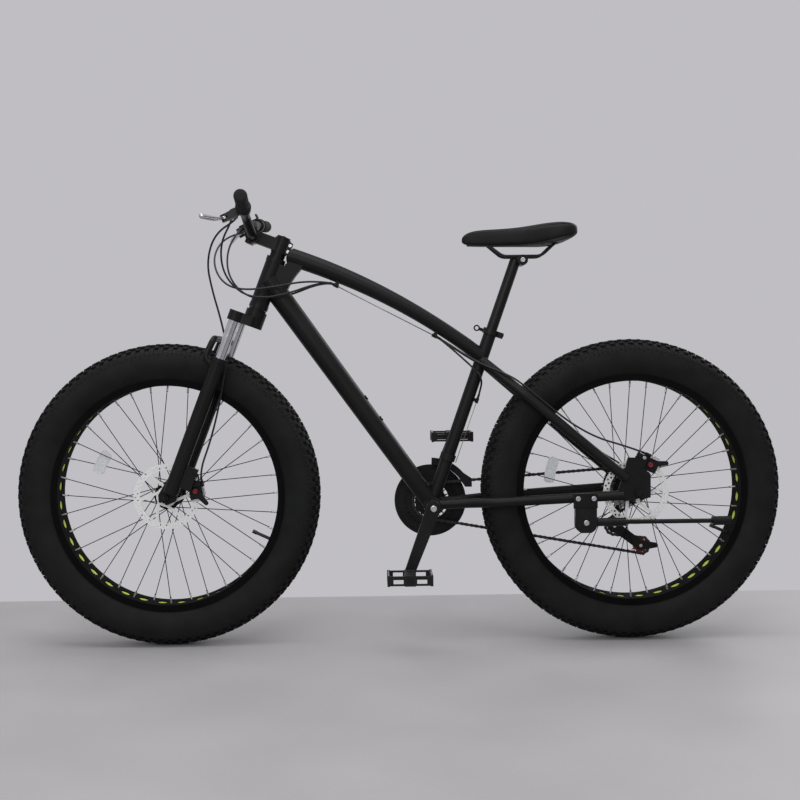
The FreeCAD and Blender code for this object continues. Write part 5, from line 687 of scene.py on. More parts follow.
# %% the section of a tyre
def arc_through(first, middle, last, steps):
    """Points on the arc through three points of a section, each (out, radius)."""
    (ax, ay), (bx, by), (cx, cy) = first, middle, last
    twice = 2 * (ax * (by - cy) + bx * (cy - ay) + cx * (ay - by))
    ux = ((ax**2 + ay**2) * (by - cy) + (bx**2 + by**2) * (cy - ay) + (cx**2 + cy**2) * (ay - by)) / twice
    uy = ((ax**2 + ay**2) * (cx - bx) + (bx**2 + by**2) * (ax - cx) + (cx**2 + cy**2) * (bx - ax)) / twice
    size = math.hypot(ax - ux, ay - uy)
    start = math.atan2(ay - uy, ax - ux)
    end = math.atan2(cy - uy, cx - ux)
    turns = [start + (end - start) * step / steps for step in range(steps + 1)]
    return [(ux + size * math.cos(t), uy + size * math.sin(t)) for t in turns]


CROWN_ARC = 0.0562
CROWN_MIDDLE = 0.374 - CROWN_ARC
CROWN_HALF = 0.0502
CROWN_TILTS = [math.radians(41 - 82 * step / 26) for step in range(27)]
TREAD = 0.0046
BEAD = [(0.0283, 0.2797), (0.0362, 0.2799)]
WALL_ARC = arc_through((0.03635, 0.28615), (0.049, 0.322), (0.0428, 0.3545), 16)
SHOULDER = [(0.0418, 0.3546)]


def on_crown(axle, angle, tilt, height):
    """A point over the tread: angle about the axle, tilt across the crown, height over the casing."""
    radius = CROWN_MIDDLE + (CROWN_ARC - TREAD + height) * math.cos(tilt)
    out = (CROWN_ARC - TREAD + height) * math.sin(tilt)
    return (axle.x + radius * math.sin(angle), axle.y + out, axle.z + radius * math.cos(angle))


def on_wall(axle, angle, share, height):
    """A point over the side wall; share runs from bead, 0, to shoulder, 1, and its sign is the side."""
    side = 1 if share > 0 else -1
    place = min(abs(share), 1.0) * (len(WALL_ARC) - 1)
    count = min(int(place), len(WALL_ARC) - 2)
    (out, radius), (next_out, next_radius) = WALL_ARC[count], WALL_ARC[count + 1]
    part = place - count
    across, along = next_out - out, next_radius - radius
    size = math.hypot(across, along)
    out = out + across * part + height * along / size
    radius = radius + along * part - height * across / size
    return (axle.x + radius * math.sin(angle), axle.y + side * out, axle.z + radius * math.cos(angle))


def casing(axle, steps=196):
    """Points and faces of the section turned about the axle."""
    near = BEAD + WALL_ARC + SHOULDER
    crown = [(CROWN_HALF * math.sin(tilt), CROWN_MIDDLE + (CROWN_ARC - TREAD) * math.cos(tilt))
             for tilt in CROWN_TILTS]
    section = near + crown + [(-out, radius) for out, radius in reversed(near)]
    turns = [math.tau * step / steps for step in range(steps)]
    points = [(axle.x + radius * math.sin(t), out, axle.z + radius * math.cos(t))
              for t in turns for out, radius in section]
    size = len(section)
    faces = []
    for count in range(steps):
        here, after = count * size, (count + 1) % steps * size
        for step in range(size):
            following = (step + 1) % size
            faces.append((here + step, here + following, after + following, after + step))
    return points, faces


print("the tyre's section is", round(2000 * max(out for out, _ in WALL_ARC), 1), "mm wide")

# %% blocks and lugs
BLOCKS = 98
BLOCK_SINK = 0.0008
CHAMFER = 0.0009
# each row: tilt from the crown's middle and width, in degrees, then shift and length as shares of the pitch
BLOCK_ROWS = ((0, 10.6, 0.0, 0.50), (14.5, 9.6, 0.5, 0.58), (29, 9.8, 0.0, 0.52), (43.5, 10.4, 0.5, 0.62))
SLIM = 0.86
LUG_TOP = 0.985
LUG_REACHES = (0.09, 0.16)
LUG_SHARE = 0.2
LUG_SINK, LUG_TALL = 0.0006, 0.0012


def block_on(points, faces, place, axle, angle, across, long, wide, low, high):
    """Adds one tapered block with a chamfered top; place is on_crown or on_wall."""
    first = len(points)
    for spread, height in ((1.0, low), (0.92, high - CHAMFER), (0.74, high)):
        for step, side in ((-1, -1), (1, -1), (1, 1), (-1, 1)):
            points.append(place(axle, angle + step * spread * long / 2, across + side * spread * wide / 2,
                                height))
    for level in (0, 4):
        for step in range(4):
            a = first + level + step
            b = first + level + (step + 1) % 4
            faces.append((a, b, b + 4, a + 4))
    faces.append((first + 8, first + 9, first + 10, first + 11))


def tyre(name, axle, body, material):
    """The casing as one turned skin, with blocks and shoulder lugs standing on it."""
    points, faces = casing(axle)
    smooth = len(faces)
    pitch = math.tau / BLOCKS
    for tilt, wide, shift, share in BLOCK_ROWS:
        for side in (1,) if tilt == 0 else (1, -1):
            for count in range(BLOCKS):
                long = pitch * share * (SLIM if count % 2 else 1.0)
                block_on(points, faces, on_crown, axle, (count + shift) * pitch, side * math.radians(tilt),
                         long, math.radians(wide), -BLOCK_SINK, TREAD)
    for side in (1, -1):
        for count in range(BLOCKS * 2):
            reach = LUG_REACHES[count % 2]
            block_on(points, faces, on_wall, axle, (count / 2 + 0.25) * pitch, side * (LUG_TOP - reach / 2),
                     pitch * LUG_SHARE, reach, -LUG_SINK, LUG_TALL)
    piece = mesh_piece(name, points, faces)
    for face in piece.data.polygons:
        face.use_smooth = face.index < smooth
    outward = bmesh.new()
    outward.from_mesh(piece.data)
    bmesh.ops.recalc_face_normals(outward, faces=outward.faces)
    outward.to_mesh(piece.data)
    outward.free()
    wear(piece, material)
    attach(piece, body)
    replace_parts(piece, body.replace("wheel", "tyre"))
    print(name, len(piece.data.polygons), "faces")


tyre("front_tread", FRONT_AXLE, "front_wheel", front_tyre_rubber)
tyre("rear_tread", REAR_AXLE, "rear_wheel", rear_tyre_rubber)

# %% [markdown]
# ## The saddle
# The saddle is foam on a nylon shell under a stitched skin: a slim nose, a broad soft back and a shallow
# channel along the middle. A loft of rounded cross sections gives the form that stretched skin takes, a
# subdivision surface smooths it, and two seams with their stitches run from the nose to the back.

# %% the cushion
saddle_low, saddle_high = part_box("saddle_cover")
SADDLE_LONG = saddle_high.x - saddle_low.x
SADDLE_TALL = saddle_high.z - saddle_low.z
SADDLE_HALF = saddle_high.y
CHANNEL_WIDE = 0.011
CHANNEL_DEEP = 0.0035
CHANNEL_START, CHANNEL_SHARE = 0.2, 0.7
SIDE_POWER, CROWN_POWER, FLOOR_POWER = 0.72, 0.62, 0.34
# each cross section: its share along the saddle, then half width, low edge and crown as shares of the box
STATIONS = ((0.004, 0.055, 0.20, 0.35), (0.02, 0.12, 0.13, 0.47), (0.05, 0.17, 0.08, 0.57),
            (0.10, 0.21, 0.04, 0.65), (0.18, 0.25, 0.01, 0.70), (0.30, 0.29, 0.0, 0.735),
            (0.42, 0.37, 0.0, 0.765), (0.54, 0.50, 0.0, 0.815), (0.66, 0.73, 0.01, 0.90),
            (0.76, 0.91, 0.06, 0.955), (0.85, 0.985, 0.14, 0.98), (0.92, 0.95, 0.25, 0.95),
            (0.97, 0.81, 0.36, 0.87), (0.992, 0.64, 0.45, 0.77))


def bulge(value, power):
    """A sine or cosine drawn out towards a square, with its sign kept."""
    return math.copysign(abs(value) ** power, value)


def saddle_ring(share, half, low, high, steps=28):
    """One cross section, from the bottom edge over the crown: flat below, full sides, a channel on top."""
    deep = CHANNEL_DEEP * max(0.0, math.sin(math.pi * min(1, max(0, (share - CHANNEL_START) / CHANNEL_SHARE))))
    ring = []
    for step in range(steps):
        turn = -math.pi / 2 + math.tau * (step + 0.5) / steps
        out = bulge(math.cos(turn), SIDE_POWER) * half * SADDLE_HALF
        lift = bulge(math.sin(turn), CROWN_POWER if turn % math.tau < math.pi else FLOOR_POWER)
        level = saddle_low.z + SADDLE_TALL * (low + (high - low) * (lift * 0.5 + 0.5))
        if lift > 0:
            level -= deep * math.exp(-((out / CHANNEL_WIDE) ** 2))
        ring.append(Vector((saddle_high.x - SADDLE_LONG * share, out, level)))
    return ring


cushion = skin("saddle_cushion", [saddle_ring(*station) for station in STATIONS])
for face in cushion.data.polygons:
    face.use_smooth = True
rounding = cushion.modifiers.new("rounding", "SUBSURF")
rounding.levels = rounding.render_levels = 2
wear(cushion, saddle_skin)
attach(cushion, "seat")
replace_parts(cushion, "saddle_cover")
print("saddle", round(SADDLE_LONG, 3), "m long and", round(2 * SADDLE_HALF, 3), "m wide")

# %% seams and stitches
STITCHES = 64
SEAM_START, SEAM_SHARE = 0.06, 0.86
SEAM_AROUND = 0.168
# a stitch from end to end: reach along the seam, half width and rise over the skin
STITCH = ((-0.0016, 0.0004, 0.0), (-0.0007, 0.0006, 0.0006), (0.0007, 0.0006, 0.0006),
          (0.0016, 0.0004, 0.0))
# its cross section: share of the half width, and lift
STITCH_SECTION = ((-1, -0.0012), (-0.6, 0.0001), (0.6, 0.0001), (1, -0.0012))


def on_saddle(share, around):
    """A point of the cushion's skin: share along it, and around as a share of the cross section."""
    count = max(c for c in range(len(STATIONS) - 1) if STATIONS[c][0] <= share)
    part = (share - STATIONS[count][0]) / (STATIONS[count + 1][0] - STATIONS[count][0])
    ring = saddle_ring(*(a + (b - a) * part for a, b in zip(STATIONS[count], STATIONS[count + 1])))
    spot = around * len(ring) - 0.5
    low = int(math.floor(spot))
    return ring[low % len(ring)].lerp(ring[(low + 1) % len(ring)], spot - low)


points, faces = [], []
for side in (1, -1):
    around = 0.5 - side * SEAM_AROUND
    for count in range(STITCHES):
        share = SEAM_START + SEAM_SHARE * count / (STITCHES - 1)
        here = on_saddle(share, around)
        way = (on_saddle(share + 0.004, around) - here).normalized()
        over = (on_saddle(share, around + 0.012 * side) - here).normalized()
        up = way.cross(over).normalized()
        if up.z < 0:
            up.negate()
        add_rings(points, faces, [[here + way * along + over * out * width + up * (rise + lift)
                                   for out, lift in STITCH_SECTION] for along, width, rise in STITCH])
stitches = wear(mesh_piece("saddle_stitches", points, faces), grip_rubber)
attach(stitches, "seat")
print(2 * STITCHES, "stitches")

# %% [markdown]
# ## The chain
# A drive chain is rollers on pins, joined by pairs of waisted plates that lie inside and outside each
# other in turn. Its shape follows from the wheels it runs round: arcs on the pitch circles, straight runs
# between them. Rollers sit in the tooth gaps of each wheel, so they are set there first, and the runs
# share out the rest.

# %% where the rollers sit
PITCH = 0.0127
CHAIN_Y = -0.060
# centre in the wheel plane, teeth, and +1 where the chain turns one way, -1 the other
chain_wheels = [((-0.077, 0.342), 22, 1), ((-0.573, 0.374), 24, 1), ((-0.546, 0.272), 11, -1),
                ((-0.6129, 0.2212), 11, 1)]
RING, FREEWHEEL, GUIDE, TENSION = range(len(chain_wheels))


def pitch_radius(teeth):
    return PITCH / (2 * math.sin(math.pi / teeth))


def roller_places():
    """Rollers in order round the chain, each with the wheel it sits on, or the run that leaves it."""
    headings = []
    pairs = list(zip(chain_wheels, chain_wheels[1:] + chain_wheels[:1]))
    for (centre, teeth, side), (following, next_teeth, next_side) in pairs:
        run = Vector(following) - Vector(centre)
        spread = next_side * pitch_radius(next_teeth) - side * pitch_radius(teeth)
        headings.append(math.atan2(run.y, run.x) - math.asin(spread / run.length))
    seated = []
    for index, (centre, teeth, side) in enumerate(chain_wheels):
        start = headings[index - 1] - side * math.pi / 2
        end = headings[index] - side * math.pi / 2
        while side * (end - start) < 0:
            end += side * math.tau
        step = math.tau / teeth
        spare = int(abs(end - start) / 2 / step)
        turns = [(start + end) / 2 + side * step * count for count in range(-spare, spare + 1)]
        seated.append([Vector((centre[0] + pitch_radius(teeth) * math.cos(turn),
                               centre[1] + pitch_radius(teeth) * math.sin(turn))) for turn in turns])
    places, stretches = [], []
    for wheel, (on_wheel, on_next) in enumerate(zip(seated, seated[1:] + seated[:1])):
        run = on_next[0] - on_wheel[-1]
        count = round(run.length / PITCH)
        places += on_wheel + [on_wheel[-1] + run * (step / count) for step in range(1, count)]
        stretches += [("wheel", wheel)] * len(on_wheel) + [("run", wheel)] * (count - 1)
    return places, stretches


rollers, stretches = roller_places()
print(len(rollers), "rollers on the chain")

# %% rollers, plates and pins
# each shape from end to end: its reach across the chain and its radius there
ROLLER = ((-0.0016, 0.0032), (-0.0013, 0.0034), (0.0013, 0.0034), (0.0016, 0.0032))
PIN_END = ((0.0022, 0.0018), (0.0030, 0.0018), (0.0032, 0.0012))
# each plate: its inner face, its outer face and half its waist
INNER_PLATE = (0.0017, 0.0023, 0.0031)
OUTER_PLATE = (0.00235, 0.0028, 0.0027)
PLATE_END = 0.0041


def flat_ring(line, y):
    """Points of the wheel plane, stood up in the bicycle's frame."""
    return [Vector((place.x, y, place.y)) for place in line]


def round_line(centre, radius, sides):
    turns = [math.tau * step / sides for step in range(sides)]
    return [Vector((centre.x + radius * math.cos(t), centre.y + radius * math.sin(t))) for t in turns]


def link_outline(first, second, waist):
    """A plate's outline: round ends about two pins and a waist between them."""
    along = (second - first).normalized()
    across = Vector((-along.y, along.x))
    line = []
    for pin, way in ((second, 1), (first, -1)):
        for step in range(7):
            turn = math.radians(-75 + 25 * step)
            line.append(pin + (along * math.cos(turn) + across * math.sin(turn)) * PLATE_END * way)
        line.append((first + second) / 2 + across * waist * way)
    return line


def add_link(points, faces, count):
    """Adds one roller, its pin and the pair of plates that reach to the next roller."""
    roller, following = rollers[count], rollers[(count + 1) % len(rollers)]
    add_rings(points, faces, [flat_ring(round_line(roller, radius, 12), CHAIN_Y + reach)
                              for reach, radius in ROLLER])
    inner, outer, waist = OUTER_PLATE if count % 2 else INNER_PLATE
    outline = link_outline(roller, following, waist)
    trimmed = [place.lerp((roller + following) / 2, 0.03) for place in outline]
    plate = ((inner, outline), (outer * 0.8 + inner * 0.2, outline), (outer, trimmed))
    for way in (1, -1):
        add_rings(points, faces, [flat_ring(line, CHAIN_Y + way * reach) for reach, line in plate])
        add_rings(points, faces, [flat_ring(round_line(roller, radius, 10), CHAIN_Y + way * reach)
                                  for reach, radius in PIN_END])


print("a link has plates", round(2000 * PLATE_END, 1), "mm tall")

# %% [markdown]
# The rear derailleur slides and its cage swings. The chain is split where what it follows changes: its links
# on the big wheels stay with the frame, those round the lower pulley ride the cage, and the runs between stay
# fixed where they are drawn.

# %% the chain in stretches
BEND_END = -0.45
chain_rides = {
    "chain_links": ["frame"],
    "chain_drop": ["frame", "derailleur"],
    "chain_guide": ["derailleur", "cage"],
    "chain_loop": ["cage"],
    "chain_rear_run": ["cage", "derailleur"],
    "chain_front_run": ["derailleur", "frame"],
}
# the wheels and the runs that leave them; the last run, back to the chainring, is split at BEND_END
stretch_names = {
    ("wheel", RING): "chain_links", ("run", RING): "chain_links",
    ("wheel", FREEWHEEL): "chain_links", ("run", FREEWHEEL): "chain_drop",
    ("wheel", GUIDE): "chain_guide", ("run", GUIDE): "chain_loop",
    ("wheel", TENSION): "chain_loop", ("run", TENSION): "chain_rear_run",
}
chain_parts = {name: [] for name in chain_rides}
for count, stretch in enumerate(stretches):
    beyond = stretch == ("run", TENSION) and rollers[count].x >= BEND_END
    chain_parts["chain_front_run" if beyond else stretch_names[stretch]].append(count)
for name, links in chain_parts.items():
    points, faces = [], []
    for count in links:
        add_link(points, faces, count)
    piece = wear(mesh_piece(name, points, faces), chain_steel)
    if len(chain_rides[name]) == 1:
        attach(piece, chain_rides[name][0])
    else:
        # first and last are the stretch's ends: the guide pulley's own links from their first to their last, a
        # run from the link before
        first, last = rollers[links[0] - (name != "chain_guide")], rollers[links[-1]]
        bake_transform(piece)
    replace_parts(piece, "chain")
    print(name, len(links), "links")

# %% [markdown]
# ## Bolts, dials and springs
# Small bright fasteners are what make a black bicycle readable: socket screws at the stem, crank caps,
# rotor calipers and the stand. Each screw is a domed head with a bevelled rim and a six-sided socket sunk
# into it. The calipers also carry red adjusting dials with a knurled edge, and coil springs on their bare
# wires.

# %% socket screws
def socket_radius(turn, reach, width, corners):
    """A radius that follows a polygon's sides; with no corners it is round."""
    if not corners:
        return width
    share = math.tau / corners
    return width * math.cos(share / 2) / math.cos(turn % share - share / 2)


SEAT_SINK = 0.0004


def screw(points, faces, place, way, radius, height, sides=24):
    """Adds a socket screw: place is the middle of the seat, way points out of the head."""
    profile = ((-SEAT_SINK, radius, 0), (height * 0.72, radius, 0), (height * 0.92, radius * 0.93, 0),
               (height, radius * 0.82, 0), (height, radius * 0.56, 6), (height * 0.45, radius * 0.53, 6))
    add_rings(points, faces, turned(Vector(place), way, profile, sides, socket_radius))


BOSS_OUT = Vector((-0.8139, 0, 0.581)).normalized()
BOLT = (0.0044, 0.003)
STUD = (0.0062, 0.004)
PULLEY_BOLT = (0.0042, 0.002)


def pair(x, y, z, middle=0.0):
    """A screw on each side of a piece: place and way."""
    return [((x, middle + y, z), LEFT), ((x, middle - y, z), RIGHT)]


# each row: the name, the body, the radius and height of the head, and the places and ways
screws = (
    ("boss_screws", "frame", (0.0042, 0.003),
     [((0.0834, 0, 0.6089), BOSS_OUT), ((0.0465, 0, 0.5565), BOSS_OUT)]),
    ("stand_screws", "frame", STUD, [((-0.464, 0.111, 0.362), LEFT), ((-0.426, 0.111, 0.362), LEFT)]),
    ("stand_screws", "frame", (0.0066, 0.003), [((-0.445, 0.1175, 0.304), LEFT)]),
    ("rear_caliper_screws", "frame", BOLT,
     [((-0.5722, 0.095, 0.4540), LEFT), ((-0.5905, 0.095, 0.4582), LEFT)]),
    ("front_caliper_screws", "fork_lower", BOLT,
     [((0.4965, 0.076, 0.4185), LEFT), ((0.5090, 0.076, 0.4075), LEFT)]),
    ("crank_caps", "crank", (0.0078, 0.0035), pair(-0.077, 0.107, 0.342)),
    ("ring_screws", "crank", (0.0042, 0.0022),
     [((x, -0.0819, z), RIGHT) for x, z in ((-0.0963, 0.3924), (-0.035, 0.3759), (-0.0318, 0.3125),
                                            (-0.0911, 0.2899), (-0.1309, 0.3393))]),
    ("stem_screws", "steering", BOLT, pair(0.2664, 0.015, 0.985) + pair(0.2721, 0.015, 0.9701)),
    ("seat_screws", "seat", STUD, pair(-0.3064, 0.027, 0.945)),
    ("pulley_screws", "cage", PULLEY_BOLT, pair(-0.6129, 0.0056, 0.2212, CHAIN_Y)),
    ("pulley_screws", "cage", PULLEY_BOLT, pair(-0.546, 0.0056, 0.272, CHAIN_Y)[:1]),
    ("hanger_screw", "frame", (0.0075, 0.004), [((-0.579, -0.122, 0.343), RIGHT)]),
)
heads = {}
for name, body, (radius, height), places in screws:
    points, faces = heads.setdefault((name, body), ([], []))
    for place, way in places:
        screw(points, faces, place, way, radius, height)
for (name, body), (points, faces) in heads.items():
    piece = wear(mesh_piece(name, points, faces), zinc_steel)
    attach(piece, body)
print(sum(len(row[-1]) for row in screws), "screws")

# %% red dials and coil springs
NOTCHES = 20


def dial(name, place, way, radius, height, body):
    """An adjusting dial: a domed cap whose edge is cut by finger notches."""
    def notched(turn, reach, share, depth):
        return radius * share * (1 - depth * (1 + math.cos(NOTCHES * turn)))

    profile = ((0, 0.94, 0.0), (0.0006, 1.0, 0.05), (height * 0.75, 1.0, 0.05), (height * 0.95, 0.93, 0.03),
               (height, 0.8, 0.0), (height, 0.45, 0.0), (height * 0.8, 0.40, 0.0),
               (height * 0.8, 0.02, 0.0))
    piece = wear(skin(name, turned(Vector(place), way, profile, 3 * NOTCHES, notched)), dial_red)
    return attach(piece, body)


dial("front_outer_dial", (0.5003, 0.0743, 0.3881), LEFT, 0.0062, 0.005, "front_brake_arm")
dial("rear_outer_dial", (-0.6049, 0.0963, 0.4408), LEFT, 0.0062, 0.005, "rear_brake_arm")
dial("front_inner_dial", (0.5003, 0.0390, 0.3881), RIGHT, 0.0078, 0.003, "fork_lower")
dial("rear_inner_dial", (-0.6049, 0.0610, 0.4408), RIGHT, 0.0078, 0.003, "frame")


def coil_spring(name, start, end, radius, wire, coils):
    """A coil spring drawn round the straight line from start to end."""
    start, end = Vector(start), Vector(end)
    across, other = crossed((end - start).normalized())
    steps = coils * 14
    line = []
    for step in range(steps + 1):
        turn = math.tau * coils * step / steps
        out = across * math.cos(turn) + other * math.sin(turn)
        line.append(start.lerp(end, step / steps) + out * radius)
    piece = wear(skin(name, tube_rings(line, wire / 2, 7)), zinc_steel)
    return piece


RETURN_RADIUS = 0.0034
RETURN_WIRE = 0.0011
RETURN_COILS = 7
return_springs = {
    "front_return_spring": ("fork_lower", "front_brake_arm",
                            (0.4820, 0.0717, 0.3980), (0.4782, 0.0717, 0.3790)),
    "rear_return_spring": ("frame", "rear_brake_arm",
                           (-0.6080, 0.0937, 0.4614), (-0.6255, 0.0937, 0.4531)),
}
for name, (first, second, start, end) in return_springs.items():
    coil = coil_spring(name, start, end, RETURN_RADIUS, RETURN_WIRE, RETURN_COILS)
    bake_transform(coil)
print("dials and springs on both calipers")

# %% springs inside the fork
# Each leg hides a coil under its stanchion. It stands on the lower leg.
FORK_UP = Vector((-0.358368, 0, 0.93358))
SPRING_MIDDLE = Vector((0.497995, 0.084, 0.544281))
SPRING_HALF = 0.064
SPRING_END = 0.0016
SPRING_RADIUS = 0.009
SPRING_WIRE = 0.003
SPRING_COILS = 15
for side, name in ((1, "left_fork_spring"), (-1, "right_fork_spring")):
    middle = SPRING_MIDDLE * Vector((1, side, 1))
    reach = FORK_UP * (SPRING_HALF - SPRING_END)
    coil = coil_spring(name, middle - reach, middle + reach, SPRING_RADIUS, SPRING_WIRE, SPRING_COILS)
    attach(coil, "fork_lower")
    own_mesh(coil)
    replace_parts(coil, "fork_springs")
print("a coil spring in each fork leg")

# %% [markdown]
# ## Grips, levers and pedals
# Hands and feet need something to hold on to. A grip is one rubber sleeve with raised diamonds, a collar
# at its inner end and a rounded cap. A brake lever is a cast blade that ends in a ball. A pedal is a
# cage: windows in its side walls and ends, a barrel through its middle, a rib across it, and studs that
# bite into a sole. A cage of boxes is drawn from a grid whose cells are kept or left open, so every wall
# has its real thickness, and a bevel breaks its edges.

# %% grips
GRIP_END = Vector((0.3543, 0.3260, 1.0683))
GRIP_WAY = Vector((-0.0538, 0.9949, 0.0852)).normalized()
GRIP_RADIUS = 0.0155
DIAMONDS_START, DIAMONDS_END = -0.0065, -0.1105
DIAMOND_ROWS = 76
DIAMOND_DEEP = 0.0011
DIAMONDS_ROUND, DIAMONDS_ALONG = 9, 420
GRIP_CAP = [(0.0040, 0.0030), (0.0040, 0.0095), (0.0034, 0.0135), (0.0018, 0.0152), (0.0, GRIP_RADIUS),
            (-0.0060, GRIP_RADIUS)]
GRIP_COLLAR = [(-0.1110, GRIP_RADIUS), (-0.1165, GRIP_RADIUS), (-0.1178, 0.0180), (-0.1190, 0.0185),
               (-0.1212, 0.0185), (-0.1220, 0.0178), (-0.1220, 0.0114)]


def diamond_radius(turn, reach, radius):
    """The sleeve's radius, less the grooves that cross between the diamonds."""
    if not DIAMONDS_END < reach < DIAMONDS_START:
        return radius
    round_way, along_way = DIAMONDS_ROUND * turn, DIAMONDS_ALONG * reach
    wave = math.cos(round_way + along_way) * math.cos(round_way - along_way)
    return radius - DIAMOND_DEEP * min(1, max(0, 0.5 - wave * 1.6))


def grip(name, side):
    sleeve = [(DIAMONDS_START + (DIAMONDS_END - DIAMONDS_START) * row / DIAMOND_ROWS, GRIP_RADIUS)
              for row in range(DIAMOND_ROWS + 1)]
    rings = turned(GRIP_END, GRIP_WAY, GRIP_CAP + sleeve + GRIP_COLLAR, 72, diamond_radius)
    piece = wear(skin(name, on_side(rings, side)), grip_rubber)
    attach(piece, "steering")
    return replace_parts(piece, "grips")


print([grip("left_grip", 1).name, grip("right_grip", -1).name])

# %% lever blades
LEVER_UP = Vector((0.42199, -0.05464, 0.90495))
LEVER_LINE = [(0.41263, 0.19706, 1.03333), (0.42526, 0.21944, 1.02900), (0.43500, 0.26460, 1.02697),
              (0.44288, 0.30228, 1.02557), (0.44390, 0.30717, 1.02539)]
BLADE_LIFT = 0.0016
BLADE_TALL, BLADE_GROWTH, GROWTH_END = 0.0031, 0.0031, 0.3
BLADE_WIDE, BALL_GROWTH, BALL_START = 0.0046, 0.0008, 0.8
ROUND_START = 0.94


def lever_blade(name, side, body):
    """A cast blade over the lever's thin core: narrow at the hub, tall where fingers pull, a round tip."""
    line = smooth_line(LEVER_LINE)
    turns = [math.tau * step / 20 for step in range(20)]
    rings = []
    for count, place in enumerate(line):
        share = count / (len(line) - 1)
        before, after = line[max(count - 1, 0)], line[min(count + 1, len(line) - 1)]
        across = (after - before).normalized().cross(LEVER_UP)
        swell = min(1, share / GROWTH_END)
        close = math.sqrt(max(0.03, 1 - max(0, (share - ROUND_START) / (1 - ROUND_START)) ** 2))
        tall = (BLADE_TALL + BLADE_GROWTH * swell * swell * (3 - 2 * swell)) * close
        wide = (BLADE_WIDE + BALL_GROWTH * max(0, (share - BALL_START) / (1 - BALL_START))) * close
        middle = place + LEVER_UP * BLADE_LIFT * swell
        rings.append([middle + LEVER_UP * tall * math.sin(t) + across * wide * math.cos(t) for t in turns])
    piece = wear(skin(name, on_side(rings, side)), lever_alloy)
    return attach(piece, body)


print([lever_blade("left_lever_blade", 1, "left_lever").name,
       lever_blade("right_lever_blade", -1, "right_lever").name])

# %% a cage of boxes
CUBE_SIDES = {
    (1, 0, 0): ((1, 0, 0), (1, 1, 0), (1, 1, 1), (1, 0, 1)),
    (-1, 0, 0): ((0, 0, 0), (0, 0, 1), (0, 1, 1), (0, 1, 0)),
    (0, 1, 0): ((0, 1, 0), (0, 1, 1), (1, 1, 1), (1, 1, 0)),
    (0, -1, 0): ((0, 0, 0), (1, 0, 0), (1, 0, 1), (0, 0, 1)),
    (0, 0, 1): ((0, 0, 1), (1, 0, 1), (1, 1, 1), (0, 1, 1)),
    (0, 0, -1): ((0, 0, 0), (0, 1, 0), (1, 1, 0), (1, 0, 0)),
}


def carved(xs, ys, zs, kept):
    """Points and faces of the grid cells whose middles kept(x, y, z) keeps: only faces to open cells."""
    def middle(edges, index):
        return (edges[index] + edges[index + 1]) / 2

    full = {(i, j, k) for i in range(len(xs) - 1) for j in range(len(ys) - 1) for k in range(len(zs) - 1)
            if kept(middle(xs, i), middle(ys, j), middle(zs, k))}
    corners, faces = {}, []
    for i, j, k in full:
        for (di, dj, dk), square in CUBE_SIDES.items():
            if (i + di, j + dj, k + dk) not in full:
                faces.append([corners.setdefault((i + a, j + b, k + c), len(corners))
                              for a, b, c in square])
    return [Vector((xs[i], ys[j], zs[k])) for i, j, k in corners], faces


def both_ways(*values):
    return sorted([-value for value in values] + list(values))


print("a box has", len(CUBE_SIDES), "sides")

# %% pedals
# half sizes from the middle of a pedal: along the bicycle, across it and up
BARREL_X, WINDOW_X, WINDOW_END_X, END_WALL_X, PEDAL_X = 0.0130, 0.0160, 0.0395, 0.0475, 0.0540
RIB_Y, WINDOW_END_Y, SIDE_WALL_Y, PEDAL_Y = 0.004, 0.031, 0.038, 0.044
RIB_Z, END_WINDOW_Z, SIDE_WINDOW_Z, WALL_Z, PEDAL_Z = 0.0040, 0.0060, 0.0070, 0.0114, 0.0128
STUD_X, STUD_STEP, STUD_Z = 0.0508, 0.0165, 0.0112
STUD_RADIUS = STUD_TALL = 0.0017


def pedal_kept(x, y, z):
    """True where the cage is solid."""
    x, y, z = abs(x), abs(y), abs(z)
    if y > SIDE_WALL_Y:
        window = WINDOW_X < x < WINDOW_END_X and z < SIDE_WINDOW_Z
        return not window and (z < WALL_Z or x < BARREL_X or x > END_WALL_X)
    if x > END_WALL_X:
        return z < WALL_Z and not (RIB_Y < y < WINDOW_END_Y and z < END_WINDOW_Z)
    if x < BARREL_X:
        return z < WALL_Z
    return y < RIB_Y and z < RIB_Z


def pedal(name, node, middle, body):
    points, faces = carved(both_ways(BARREL_X, WINDOW_X, WINDOW_END_X, END_WALL_X, PEDAL_X),
                           both_ways(RIB_Y, WINDOW_END_Y, SIDE_WALL_Y, PEDAL_Y),
                           both_ways(RIB_Z, END_WINDOW_Z, SIDE_WINDOW_Z, WALL_Z, PEDAL_Z), pedal_kept)
    middle = Vector(middle)
    cage = wear(mesh_piece(name, [middle + point for point in points], faces), black_plastic)
    bevel = cage.modifiers.new("broken edges", "BEVEL")
    bevel.width = 0.0009
    bevel.segments = 2
    bevel.limit_method = "ANGLE"
    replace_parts(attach(cage, body), node)
    points, faces = [], []
    for side in (1, -1):
        for way in (1, -1):
            for step in range(-2, 3):
                place = middle + Vector((side * STUD_X, step * STUD_STEP, way * STUD_Z))
                screw(points, faces, place, Vector((0, 0, way)), STUD_RADIUS, STUD_TALL, 12)
    studs = wear(mesh_piece(name + "_studs", points, faces), zinc_steel)
    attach(studs, body)


pedal("left_pedal_cage", "left_pedal", (-0.0164, 0.154, 0.1832), "left_foot_pedal")
pedal("right_pedal_cage", "right_pedal", (-0.1376, -0.154, 0.5008), "right_foot_pedal")

# %% [markdown]
# ## Wheel reflectors
# Each wheel carries one clear reflector clipped between its spokes. It is an arc of plastic with a raised
# rim and rows of small pyramids that throw light back. A row of equal sections along the arc makes the
# body, and the pyramids are fine enough to be a bump.

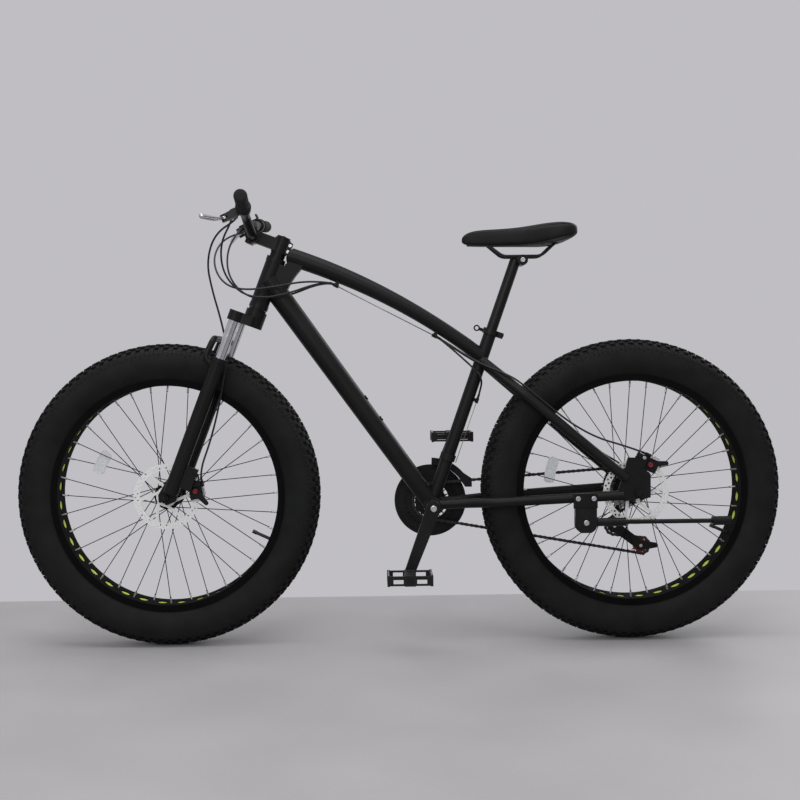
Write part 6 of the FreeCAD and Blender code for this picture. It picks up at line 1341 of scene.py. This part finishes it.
# %% reflectors
def clear_plastic(where):
    prisms = cells(where, 0.0022)
    return {
        "Base Color": colours(prisms, (0.1, (0.52, 0.54, 0.56)), (0.7, (0.72, 0.74, 0.75))),
        "Roughness": between(prisms, 0.08, 0.22),
        "Normal": raised(prisms, 0.0006, 0.6),
    }


reflector_clear = finish("reflector_clear", clear_plastic, Coat_Weight=0.4, Coat_Roughness=0.05)
REFLECTOR_DEEP = 0.0045
# half a section: share of the width, and share of the depth
RIM_AND_FACE = [(-0.5, 0.55), (-0.5, 0.85), (-0.42, 1.0), (-0.36, 0.86),
                (0.36, 0.86), (0.42, 1.0), (0.5, 0.85), (0.5, 0.55)]


def reflector(name, axle, radius, turn, span, width, body, steps=25):
    """An arc about the axle at this radius and turn; its long side follows the rim."""
    outline = RIM_AND_FACE + [(share, -depth) for share, depth in reversed(RIM_AND_FACE)]
    rings = []
    for step in range(steps):
        share = step / (steps - 1) * 2 - 1
        ease = math.sqrt(max(0.0, 1 - max(0, abs(share) - 0.8) ** 2 / 0.045))
        angle = turn + share * span / 2 / radius
        way = Vector((math.cos(angle), 0, math.sin(angle)))
        rings.append([axle + way * (radius + across * width * ease) + LEFT * depth * REFLECTOR_DEEP
                      for across, depth in outline])
    piece = wear(skin(name, rings), reflector_clear)
    for face in piece.data.polygons:
        face.use_smooth = False
    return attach(piece, body)


reflector("front_reflector", FRONT_AXLE, 0.186, math.radians(26), 0.058, 0.028, "front_wheel")
reflector("rear_reflector", REAR_AXLE, 0.203, math.radians(14), 0.066, 0.026, "rear_wheel")
print("one reflector on each wheel")

# %% [markdown]
# ## Colour settings and the last line
# Colours should render about as they are written, so the view transform is the plain one. The world
# lights the scene softly, and shows the pale wall to the camera and to reflections.

# %% world and colour settings
LIGHT_TONE = (0.5, 0.5, 0.52, 1)
WALL_TONE = (0.525, 0.515, 0.54, 1)
scene = bpy.context.scene
scene.view_settings.view_transform = "Standard"
world = bpy.data.worlds.new("studio")
scene.world = world
world.use_nodes = True
background = world.node_tree.nodes["Background"]
background.inputs["Strength"].default_value = 1.0
sky = Signal(world.node_tree, background.inputs["Color"])
seen = sky.node("LightPath", None, None, "Is Camera Ray")
mirrored = sky.node("LightPath", None, None, "Is Glossy Ray")
direct = seen.math("MAXIMUM", mirrored)
tone = sky.node("Mix", {"data_type": "RGBA"}, {0: direct, 6: LIGHT_TONE, 7: WALL_TONE}, 2)
world.node_tree.links.new(tone.socket, background.inputs["Color"])


def floor_finish(where):
    scuffs = grain(where, 0.35, 5)
    specks = grain(where, 0.01, 3)
    return {
        "Base Color": colours(scuffs * 0.8 + specks * 0.2, (0.3, (0.335, 0.325, 0.33)),
                              (0.7, (0.385, 0.375, 0.38))),
        "Roughness": between(scuffs, 0.5, 0.7),
        "Normal": raised(specks, 0.0003, 0.2),
    }


wear(floor, finish("floor_paint", floor_finish))
print("world and floor set")
